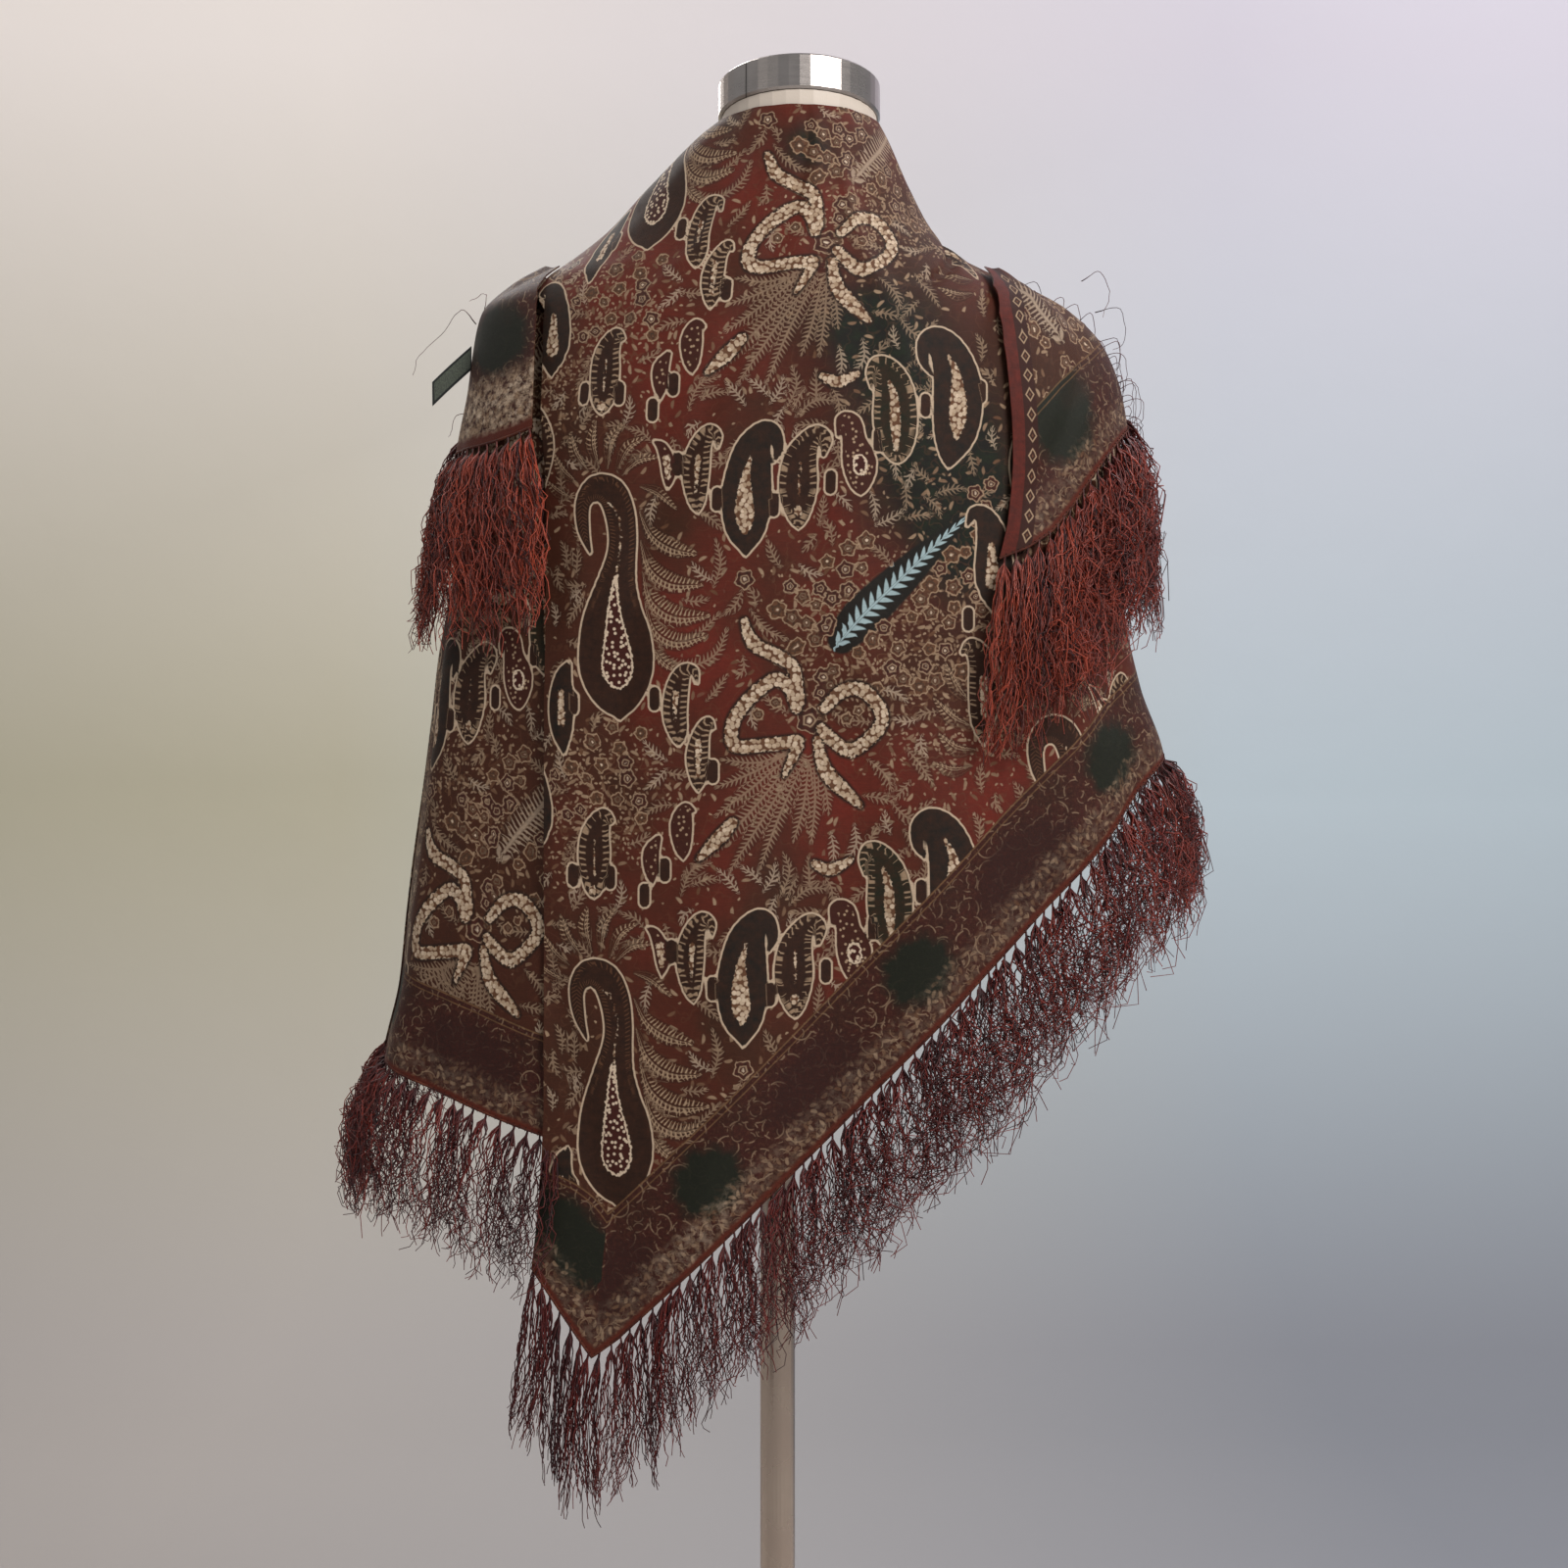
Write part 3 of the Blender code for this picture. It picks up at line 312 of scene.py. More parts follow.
def front_under_places(across, down):
    """The same end going on across the front to the right shoulder's crest."""
    return fit_places(across, down, 1.0 + 2.0 * across, 1.36 - 0.3 * down, lambda height: (1.0, 3.0),
                      lambda turn, height: (table_line(TOP_UNDER, turn), table_line(HEM_UNDER, turn)))


def right_flap_places(across, down):
    """The corner of that end, on the back of the right shoulder."""
    def edges(height):
        return turn_at(table_line(RIGHT_FLAP_EDGE, height), height), 1.0

    def ends(turn, height):
        return RIGHT_CREST, table_line(RIGHT_FLAP_HEM, cape_surface(turn, height)[:, 0])

    return fit_places(across, down, 0.6 + 0.4 * across, 1.34 - 0.15 * down, edges, ends)


def front_over_places(across, down):
    """The other end, from the right arm across the front to the left shoulder's crest."""
    return fit_places(across, down, 1.03 + 1.97 * across, 1.2 - 0.1 * down, lambda height: (RIGHT_JOIN, 3.0),
                      lambda turn, height: (table_line(TOP_OVER, turn), table_line(HEM_OVER, turn)))


def left_flap_places(across, down):
    """The corner of the other end, on the back of the left shoulder."""
    def edges(height):
        return -1.0, turn_at(np.full(height.shape, LEFT_FLAP_X), np.minimum(height, RIGHT_CREST))

    def ends(turn, height):
        return LEFT_CREST, table_line(LEFT_FLAP_HEM, cape_surface(turn, height)[:, 0])

    return fit_places(across, down, -1.0 + 0.3 * across, 1.33 - 0.1 * down, edges, ends)


def left_lift(turn, height):
    """The stretch behind the pleat sinks under the back panel, beside it and at the shoulder."""
    beside = 0.0045 * soft_step((turn + 0.86) / 0.16)
    above = 0.0075 * soft_step((height - 1.306) / 0.026) * soft_step((turn + 1.0) / 0.07)
    return -np.maximum(beside, above)


LIFTS = {
    "shawl_back": lambda turn, height: np.zeros_like(turn),
    "shawl_left": left_lift,
    "shawl_front_under": lambda turn, height: LAYER * soft_step((1.95 - turn) / 0.30),
    "shawl_right_flap": lambda turn, height: np.full_like(turn, LAYER),
    "shawl_front_over": lambda turn, height: OVER_LAYER * soft_step((turn - 1.12) / 0.26),
    "shawl_left_flap": lambda turn, height: OVER_LAYER * (
        1.0 - 0.70 * soft_step((height - 1.322) / 0.030) * soft_step((turn + 0.99) / 0.10)),
}


def back_columns(count):
    """Columns of the back panel, one of them through its low point."""
    turns = turn_at(np.array([PLEAT_FOOT[0], LOW_POINT[0]]), np.array([PLEAT_FOOT[1], LOW_POINT[1]]))
    low = (turns[1] - turns[0]) / (RIGHT_JOIN - turns[0])
    return np.concatenate((np.linspace(0.0, low, 3), np.linspace(low, 1.0, count - 1)[1:]))


# Name, places, coarse columns, coarse rows, and fine cells to each coarse column and row
STRETCHES = {
    "shawl_back": (back_places, back_columns(30), 28, 7, 12),
    "shawl_left": (left_places, np.linspace(0, 1, 12), 20, 6, 12),
    "shawl_front_under": (front_under_places, np.linspace(0, 1, 29), 16, 9, 9),
    "shawl_right_flap": (right_flap_places, np.linspace(0, 1, 10), 10, 6, 9),
    "shawl_front_over": (front_over_places, np.linspace(0, 1, 28), 8, 9, 9),
    "shawl_left_flap": (left_flap_places, np.linspace(0, 1, 8), 8, 6, 9),
}


def refine(grid, columns, rows):
    """A grid of values read at evenly spaced finer columns and rows."""
    fine_columns = np.linspace(0, grid.shape[1] - 1, (grid.shape[1] - 1) * columns + 1)
    fine_rows = np.linspace(0, grid.shape[0] - 1, (grid.shape[0] - 1) * rows + 1)
    wide = np.stack([np.interp(fine_columns, np.arange(grid.shape[1]), row) for row in grid])
    return np.stack([np.interp(fine_rows, np.arange(grid.shape[0]), column) for column in wide.T], axis=1)


stretch_places = {}
for name, (places, columns, rows, fine_columns, fine_rows) in STRETCHES.items():
    across = np.tile(columns, rows + 1)
    down = np.repeat(np.linspace(0.0, 1.0, rows + 1), len(columns))
    turn, height = places(across, down)
    shape = (rows + 1, len(columns))
    stretch_places[name] = (refine(turn.reshape(shape), fine_columns, fine_rows),
                            refine(height.reshape(shape), fine_columns, fine_rows))
    print(name, "grid", stretch_places[name][0].shape)

# %% [markdown]
# ## Where a point is on the flat cloth
#
# A print follows the cloth, not the room, so every point needs its place on the flat cut. Across is the
# length round the cape from the middle of the back, and up is the height. Both are in metres. An unwrap in
# Blender would give this too, but with seams and stretch of its own.

# %% Lengths round the cape
RING_TURNS = np.linspace(-1.5, 3.6, 511)
RING_HEIGHTS = np.linspace(0.5, 1.463, 90)
ring_lengths = []
for level in RING_HEIGHTS:
    ring = cape_surface(RING_TURNS, np.full_like(RING_TURNS, level))
    length = np.concatenate(([0.0], np.cumsum(np.linalg.norm(np.diff(ring, axis=0), axis=1))))
    ring_lengths.append(length - np.interp(0.0, RING_TURNS, length))
ring_lengths = np.array(ring_lengths)


def ring_length(turn, height):
    """Length round the cape from the middle of the back, read from the table of rings."""
    column = np.clip((turn - RING_TURNS[0]) / (RING_TURNS[1] - RING_TURNS[0]), 0, len(RING_TURNS) - 1.001)
    row = np.clip((height - RING_HEIGHTS[0]) / (RING_HEIGHTS[1] - RING_HEIGHTS[0]), 0, len(RING_HEIGHTS) - 1.001)
    c, r = column.astype(int), row.astype(int)
    fc, fr = column - c, row - r
    top = ring_lengths[r, c] * (1 - fc) + ring_lengths[r, c + 1] * fc
    low = ring_lengths[r + 1, c] * (1 - fc) + ring_lengths[r + 1, c + 1] * fc
    return top * (1 - fr) + low * fr


print("girth at the chest", round(float(ring_lengths[60][-100] - ring_lengths[60][50]), 3))

# %% [markdown]
# ## The print
#
# The cloth carries a traditional paisley print: teardrops, which are called botehs, a ribbon bow, fern
# fronds, a leafy sprig and a chain of small botehs joined by links. A picture of the cloth would be quickest,
# but nothing here may be a picture. So each motif is charted by hand as a stroke: a short line of points
# with a radius at each. The distance from every point of the cloth to the nearest stroke is kept on the mesh,
# and the material turns those distances into outlines, fills, ribs and leaflets. Lines stay crisp at any zoom,
# because the distance changes smoothly between the mesh's points.
#
# Points are in units of the chart from the bow's middle, across and up. A unit is 0.64 mm of cloth, and the
# repeat is 304 by 318 mm.

# %% Motifs of one repeat
REPEAT, UNIT = (304.0, 318.0), 0.64
# Tone 0.0 maroon, 0.2 brown without ribs, 0.4 brown with ribs, 0.6 black, 0.9 green with ribs
BOTEHS = (
    (0.2, ((-195, 0, 1), (-195, 17, 14), (-197, 35, 29), (-198, 56, 39), (-199, 80, 38), (-201, 102, 32),
           (-200, 135, 22), (-196, 165, 16), (-195, 187, 15), (-199, 213, 16), (-209, 234, 16), (-226, 239, 14),
           (-239, 224, 9), (-237, 197, 7), (-228, 172, 2))),
    (0.6, ((-67, 166, 1), (-67, 180, 10), (-68, 200, 22), (-68, 228, 26), (-66, 256, 23), (-62, 278, 18),
           (-51, 294, 12), (-41, 292, 8), (-37, 277, 6), (-41, 263, 2))),
    (0.4, ((-14, 194, 1), (-15, 210, 12), (-16, 236, 20), (-15, 262, 18), (-9, 280, 13), (2, 291, 10), (11, 285, 7),
           (9, 270, 3))),
    (0.4, ((-117, 210, 1), (-119, 226, 10), (-121, 255, 15), (-117, 280, 12), (-108, 295, 8), (-99, 290, 5),
           (-99, 278, 2))),
    (0.0, ((-150, 236, 1), (-149, 250, 7), (-151, 266, 8), (-157, 280, 6), (-165, 286, 2))),
    (0.0, ((48, 229, 1), (47, 243, 12), (46, 262, 18), (40, 284, 13), (37, 302, 11), (28, 305, 8), (24, 290, 3))),
    (0.9, ((85, 262, 1), (84, 280, 16), (82, 305, 23), (80, 334, 21), (73, 355, 15), (63, 364, 10), (56, 355, 6),
           (57, 340, 2))),
    (0.6, ((139, 258, 1), (141, 276, 13), (146, 300, 24), (148, 330, 27), (145, 358, 25), (136, 382, 20),
           (123, 394, 14), (111, 388, 9), (110, 370, 6), (118, 356, 2))),
    (0.4, ((-133, -27, 1), (-134, -12, 10), (-137, 8, 13), (-134, 34, 12), (-127, 50, 8), (-117, 50, 5),
           (-114, 38, 2))),
    (0.4, ((-113, -73, 1), (-113, -58, 9), (-114, -36, 12), (-110, -14, 9), (-103, -2, 6), (-97, -8, 2))),
    (0.4, ((-222, -182, 1), (-221, -166, 12), (-221, -140, 17), (-220, -116, 15), (-212, -98, 9), (-203, -102, 4))),
    (0.0, ((-160, -168, 1), (-161, -152, 8), (-161, -134, 9), (-154, -120, 4))),
    (0.0, ((-128, -142, 1), (-129, -128, 9), (-130, -106, 12), (-126, -90, 7), (-118, -92, 3))),
    (0.6, ((-252, -34, 2), (-255, -8, 12), (-256, 20, 14), (-254, 44, 10), (-248, 58, 4))),
    (0.4, ((180, -26, 1), (179, 0, 13), (182, 34, 18), (178, 60, 14), (168, 76, 9), (158, 70, 3))),
    (0.6, ((190, 112, 2), (190, 146, 20), (187, 184, 17), (179, 208, 11), (167, 213, 7), (160, 200, 2))),
)
LINKS = ((-98, 225), (-40, 219), (17, 242), (-140, 262), (65, 286), (113, 323), (173, 340), (-158, 22),
         (-98, -52), (-204, -160), (-243, -158), (-168, -178), (-147, -152), (-243, 18), (164, 104))
# Tone 0.0 a ring with small spots in it, 0.5 filled with pale clumps
HEARTS = (
    (0.0, ((-196, 36, 3), (-197, 52, 15), (-198, 74, 13), (-200, 100, 8), (-201, 124, 4), (-200, 148, 1))),
    (0.5, ((-200, 148, 0.8), (-197, 175, 0.8), (-197, 196, 0.8), (-202, 214, 0.8), (-212, 224, 0.8))),
    (0.5, ((-68, 190, 2), (-69, 206, 9), (-70, 226, 8), (-69, 250, 4), (-64, 270, 1))),
    (0.5, ((147, 290, 2), (148, 312, 9), (148, 336, 8), (145, 360, 4), (136, 378, 1))),
    (0.5, ((83, 276, 2), (82, 300, 5), (80, 330, 4), (74, 348, 1))),
    (0.5, ((-15, 212, 4), (-15, 214, 4))), (0.5, ((-15, 228, 1), (-14, 262, 1))),
    (0.5, ((-120, 232, 1), (-119, 268, 3))),
    (0.5, ((-137, 0, 1), (-136, 28, 3))), (0.5, ((-113, -56, 2), (-113, -22, 3))),
    (0.5, ((-221, -158, 1), (-220, -122, 1))),
    (0.5, ((-150, 248, 2), (-152, 268, 4))), (0.5, ((-255, -2, 4), (-256, 30, 3))),
    (0.5, ((181, 5, 3), (180, 42, 4))),
    (0.5, ((189, 142, 8), (186, 180, 3))), (0.5, ((-222, -174, 4), (-222, -172, 4))),
    (0.0, ((47, 256, 6), (46, 264, 6))),
)
RIBBONS = (
    ((-12, -21, 6), (-45, -25, 6.5), (-76, -26, 6.5), (-78, -4, 6.5), (-67, 15, 6.5), (-50, 32, 6.5), (-33, 42, 6.5),
     (-20, 32, 6), (-13, 12, 5)),
    ((15, 12, 5), (34, 30, 6.5), (56, 30, 6.5), (74, 6, 6.5), (66, -14, 6.5), (42, -31, 6.5), (24, -20, 6),
     (12, -8, 5)),
    ((8, -20, 4), (16, -50, 7), (34, -70, 7), (52, -86, 3)),
    ((-66, 100, 4), (-57, 78, 6.5), (-34, 66, 6.5), (-16, 52, 6), (-9, 18, 4)),
    ((-11, -26, 5), (-20, -44, 4), (-26, -56, 2)),
    ((-78, -104, 5), (-92, -120, 7), (-112, -140, 3)),
    ((6, -146, 4), (22, -152, 6), (42, -142, 3)),
)
# Tone 0.1 beige, 0.4 paler, 0.9 the icy sprig
FRONDS = (
    (0.1, ((-14, -27, 3), (-50, -43, 8), (-88, -40, 3))), (0.1, ((-15, -30, 3), (-55, -52, 9), (-94, -68, 3))),
    (0.1, ((-15, -32, 3), (-55, -66, 9), (-95, -97, 3))), (0.1, ((-12, -34, 3), (-66, -100, 10), (-128, -158, 3))),
    (0.1, ((-8, -36, 3), (-46, -98, 9), (-80, -152, 3))), (0.1, ((-4, -38, 3), (-30, -96, 9), (-50, -150, 3))),
    (0.1, ((0, -38, 3), (-6, -88, 9), (-16, -122, 3))), (0.1, ((4, -36, 3), (6, -80, 9), (2, -124, 3))),
    (0.1, ((6, -34, 3), (16, -66, 9), (20, -94, 3))), (0.1, ((60, -40, 2), (78, -56, 8), (84, -74, 2))),
    (0.4, ((22, -115, 2), (25, -130, 7), (24, -146, 3))), (0.4, ((46, -106, 2), (48, -126, 8), (38, -142, 3))),
    (0.1, ((0, -178, 2), (0, -160, 9), (-1, -138, 2))), (0.1, ((96, -112, 2), (108, -128, 8), (118, -142, 2))),
    (0.1, ((84, -84, 2), (98, -98, 8), (116, -104, 2))), (0.1, ((-60, 112, 2), (-44, 92, 7), (-22, 82, 2))),
    (0.1, ((-104, 20, 2), (-92, 34, 6), (-84, 46, 2))), (0.1, ((100, -30, 2), (112, -44, 8), (126, -66, 2))),
    (0.1, ((-158, 70, 3), (-128, 54, 8), (-96, 66, 7), (-84, 92, 3))),
    (0.1, ((-150, 76, 3), (-118, 84, 6), (-92, 108, 3))),
    (0.1, ((-98, 136, 2), (-92, 160, 7), (-98, 184, 2))), (0.1, ((-130, 320, 2), (-120, 344, 7), (-100, 352, 2))),
    (0.1, ((-20, 310, 2), (0, 326, 8), (26, 324, 2))), (0.1, ((-30, 318, 2), (-20, 342, 7), (-26, 362, 2))),
    (0.9, ((33, 82, 14), (52, 104, 20), (88, 140, 18), (122, 174, 12), (156, 206, 4))),
)
PLUMES = (
    ((-178, 214, 2), (-164, 190, 8), (-142, 176, 10), (-120, 170, 4)),
    ((-176, 184, 2), (-164, 156, 9), (-142, 140, 11), (-112, 138, 4)),
    ((-172, 152, 2), (-160, 122, 10), (-136, 106, 12), (-104, 106, 4)),
    ((-168, 122, 2), (-156, 92, 9), (-134, 80, 10), (-106, 86, 4)),
    ((-166, 88, 2), (-150, 62, 7), (-134, 50, 3)),
    ((-198, 252, 2), (-182, 268, 7), (-160, 270, 2)), ((-204, 256, 2), (-194, 280, 7), (-176, 290, 2)),
    ((-214, 260, 2), (-212, 288, 7), (-198, 306, 2)), ((-224, 260, 2), (-232, 286, 7), (-228, 308, 2)),
    ((-236, 258, 2), (-250, 276, 7), (-256, 298, 2)), ((-248, 246, 2), (-264, 258, 7), (-276, 278, 2)),
    ((-254, 230, 2), (-268, 236, 6), (-284, 250, 2)), ((-178, 240, 2), (-160, 234, 6), (-140, 216, 2)),
    ((164, 20, 2), (150, 34, 8), (140, 58, 2)), ((166, -6, 2), (146, 2, 8), (128, 22, 2)),
    ((170, -30, 2), (150, -30, 8), (132, -14, 2)), ((164, -48, 2), (146, -52, 7), (126, -44, 2)),
)
ROSES = (
    (0.9, 0, 0, 14), (0.1, 12, 2, 6), (0.4, -52, 6, 6), (0.4, 38, 2, 6), (0.4, -34, 18, 6), (0.4, 50, 10, 5),
    (0.9, -28, 62, 9), (0.9, -67, 143, 10), (0.1, -12, 76, 8), (0.9, 14, 44, 10), (0.9, 12, 28, 8),
)
rng = np.random.default_rng(11)


def crowded(x, y, lines, room):
    """Whether a place is nearer than some room to any of the lines."""
    for points in lines:
        points = np.array(points, dtype=float)
        for (ax, ay, ar), (bx, by, br) in zip(points[:-1], points[1:]):
            t = np.clip(((x - ax) * (bx - ax) + (y - ay) * (by - ay)) / max((bx - ax)**2 + (by - ay)**2, 1e-6), 0, 1)
            if math.hypot(x - ax - (bx - ax) * t, y - ay - (by - ay) * t) < ar + (br - ar) * t + room:
                return True
    return False


def scattered(count, middle, reach, apart, taken, room):
    """Places spread by chance round a middle, clear of the motifs and of each other."""
    found = []
    for _ in range(count * 30):
        x, y = middle[0] + reach[0] * rng.uniform(-1, 1), middle[1] + reach[1] * rng.uniform(-1, 1)
        near = any(math.hypot(x - a, y - b) < apart for a, b in found)
        if len(found) < count and not near and not crowded(x, y, taken, room):
            found.append((x, y))
    return found


main_lines = [line for tone, line in BOTEHS] + list(RIBBONS) + [line for tone, line in FRONDS] + list(PLUMES)
main_lines += [((x, y - 7, 6), (x, y + 7, 6)) for x, y in LINKS]
rose_places = scattered(34, (96, 108), (84, 78), 15, main_lines, 5)
rose_places += scattered(26, (-240, -52), (70, 48), 14, main_lines, 4)
rose_places += scattered(14, (20, 100), (60, 40), 15, main_lines, 4)
small_roses = [(rng.choice((0.1, 0.4, 0.9)), x, y, rng.uniform(6, 10)) for x, y in rose_places]
taken = main_lines + [((x, y, r), (x, y, r)) for tone, x, y, r in small_roses]
sprays = []
for x, y in scattered(120, (0, 0), (237, 249), 17, taken, 8):
    angle, reach = rng.uniform(0, math.tau), rng.uniform(9, 16)
    dx, dy, bow = reach * math.cos(angle), reach * math.sin(angle), rng.uniform(-4, 4)
    sprays.append((rng.choice((0.1, 0.1, 0.4)),
                   ((x - dx, y - dy, 2), (x - bow * math.sin(angle), y + bow * math.cos(angle), 7),
                    (x + dx, y + dy, 2))))
print("motifs in a repeat",
      sum(map(len, (BOTEHS, LINKS, HEARTS, RIBBONS, FRONDS, PLUMES, ROSES, small_roses, sprays))))


# %% Distances to the strokes
class Field:
    """What the nearest stroke is to each point: distance past its edge, length along it, side and tone."""

    def __init__(field, count):
        field.near = np.full(count, 60.0)
        field.along = np.zeros(count)
        field.side = np.zeros(count)
        field.tone = np.zeros(count)

    def keep(field, spot, near, along, side, tone):
        """Take in values where they are nearer than those before them."""
        closer = near < field.near[spot]
        spot = spot[closer]
        field.near[spot], field.along[spot] = near[closer], along[closer]
        field.side[spot], field.tone[spot] = side[closer], tone

    def draw(field, p, q, points, tone):
        """Draw one stroke."""
        reach = 14.0 + points[:, 2].max()
        low, high = points[:, :2].min(axis=0) - reach, points[:, :2].max(axis=0) + reach
        spot = np.nonzero((p > low[0]) & (p < high[0]) & (q > low[1]) & (q < high[1]))[0]
        if not len(spot):
            return
        x, y = p[spot], q[spot]
        start = 0.0
        for (ax, ay, ar), (bx, by, br) in zip(points[:-1], points[1:]):
            dx, dy = bx - ax, by - ay
            length = math.hypot(dx, dy) + 1e-6
            t = np.clip(((x - ax) * dx + (y - ay) * dy) / length**2, 0.0, 1.0)
            away_x, away_y = x - ax - dx * t, y - ay - dy * t
            radius = ar + (br - ar) * t
            away = np.hypot(away_x, away_y)
            side = np.sign(dx * away_y - dy * away_x) * away / np.maximum(radius, 1.0)
            field.keep(spot, away - radius, start + length * t, side, tone)
            start += length

    def draw_rose(field, p, q, x, y, radius, tone):
        """Draw one small flower of five petals."""
        spot = np.nonzero((np.abs(p - x) < radius + 6) & (np.abs(q - y) < radius + 6))[0]
        away = np.hypot(p[spot] - x, q[spot] - y)
        angle = np.arctan2(q[spot] - y, p[spot] - x)
        petals = radius * (0.86 + 0.14 * np.cos(5.0 * angle + x))
        field.keep(spot, away - petals, angle, away / petals, tone)


def curve_through(points, parts=3):
    """More points along a stroke, so that it bends smoothly."""
    points = np.array(points, dtype=float)
    if len(points) < 3:
        return points
    long = np.concatenate(([2 * points[0] - points[1]], points, [2 * points[-1] - points[-2]]))
    made = []
    for a, b, c, d in zip(long[:-3], long[1:-2], long[2:-1], long[3:]):
        for t in np.arange(parts) / parts:
            straight = 2 * b + (c - a) * t
            made.append(0.5 * (straight + (2 * a - 5 * b + 4 * c - d) * t**2 + (3 * b - a - 3 * c + d) * t**3))
    return np.maximum(np.array(made + [points[-1]]), (-1e9, -1e9, 0.5))


def repeats(low, high):
    """Shifts of a motif that bring it into the middle tile. Every second column hangs half a repeat lower."""
    for column in (-1, 0, 1):
        for row in (-2, -1, 0, 1, 2):
            x, y = column * REPEAT[0], (row + 0.5 * (column % 2)) * REPEAT[1]
            if abs((low[0] + high[0]) / 2 + x) < (REPEAT[0] + high[0] - low[0]) / 2 + 14 and \
                    abs((low[1] + high[1]) / 2 + y) < (REPEAT[1] + high[1] - low[1]) / 2 + 14:
                yield np.array((x, y, 0.0))


KINDS = (
    ("boteh", [(tone, curve_through(line) * UNIT) for tone, line in BOTEHS]),
    ("boteh", [(0.3, np.array(((x, y - 7, 6), (x, y + 7, 6))) * UNIT) for x, y in LINKS]),
    ("heart", [(tone, curve_through(line) * UNIT) for tone, line in HEARTS]),
    ("ribbon", [(0.5, curve_through(line) * UNIT) for line in RIBBONS]),
    ("frond", [(tone, curve_through(line) * UNIT) for tone, line in FRONDS + tuple(sprays)]),
    ("plume", [(0.5, curve_through(line) * UNIT) for line in PLUMES]),
)


def print_fields(p, q):
    """The fields of every kind of motif at the cloth's points, repeated over the whole cloth."""
    column = np.round(p / REPEAT[0])
    p = p - column * REPEAT[0]
    q = q - 0.5 * REPEAT[1] * (column % 2)
    q = q - np.round(q / REPEAT[1]) * REPEAT[1]
    fields = {kind: Field(len(p)) for kind in ("boteh", "heart", "ribbon", "frond", "plume", "rose")}
    for kind, lines in KINDS:
        for tone, line in lines:
            for shift in repeats(line.min(axis=0), line.max(axis=0)):
                fields[kind].draw(p, q, line + shift, tone)
    for tone, x, y, radius in list(ROSES) + small_roses:
        x, y, radius = x * UNIT, y * UNIT, radius * UNIT
        for shift in repeats((x - radius, y - radius), (x + radius, y + radius)):
            fields["rose"].draw_rose(p, q, x + shift[0], y + shift[1], radius, tone)
    return fields


print("strokes in a repeat", sum(len(lines) for kind, lines in KINDS))

# %% [markdown]
# ## The border
#
# A border 64 mm wide runs along the fringed hems: two thin gold lines at its inner edge, dark green and
# maroon blossoms with scalloped edges by turns, a mottled leafy strip and a narrow plain hem. It is laid out
# by two lengths, how far a point is from the hem and how far along it.

# %% Distance from the hem
BORDER_WIDTH, BLOSSOM_PITCH = 64.0, 97.0


def from_hem(u, v, hem_u, hem_v):
    """How far each point is from the hem and how far along the hem that is, in millimetres."""
    away = np.full(len(u), 1e3)
    along = np.zeros(len(u))
    start = 0.0
    for ax, ay, bx, by in zip(hem_u[:-1], hem_v[:-1], hem_u[1:], hem_v[1:]):
        dx, dy = bx - ax, by - ay
        length = math.hypot(dx, dy) + 1e-9
        t = np.clip(((u - ax) * dx + (v - ay) * dy) / length**2, 0.0, 1.0)
        distance = np.hypot(u - ax - dx * t, v - ay - dy * t)
        closer = distance < away
        away[closer] = distance[closer]
        along[closer] = start + length * t[closer]
        start += length
    return away * 1000.0, along * 1000.0


def blossoms(along, away, first):
    """Distance past the edge of the nearest dark blossom, maroon blossom and small medallion of the border."""
    found = []
    for offset, middle, half_long, half_wide, lobes in ((0.0, 35.0, 24.0, 20.0, 9),
                                                        (BLOSSOM_PITCH, 31.0, 38.0, 21.0, 13),
                                                        (46.0, 52.0, 13.0, 7.5, 5)):
        pitch = BLOSSOM_PITCH if lobes == 5 else 2.0 * BLOSSOM_PITCH
        x = (along - first - offset + pitch / 2) % pitch - pitch / 2
        y = away - middle
        angle = np.arctan2(y / half_wide, x / half_long)
        scallop = 0.88 + 0.13 * np.abs(np.cos(0.5 * lobes * angle))
        found.append((np.hypot(x / half_long, y / half_wide) - scallop) * half_wide)
    return found


print("border blossoms are", BLOSSOM_PITCH, "mm apart")

# %% [markdown]
# ## Shared effects of the materials
#
# Materials here are made of nodes. An effect that more than one of them uses is a group with named inputs,
# built once: the weave of the cloth, and clumps, which are the small knotted spots that pale areas are
# printed with.

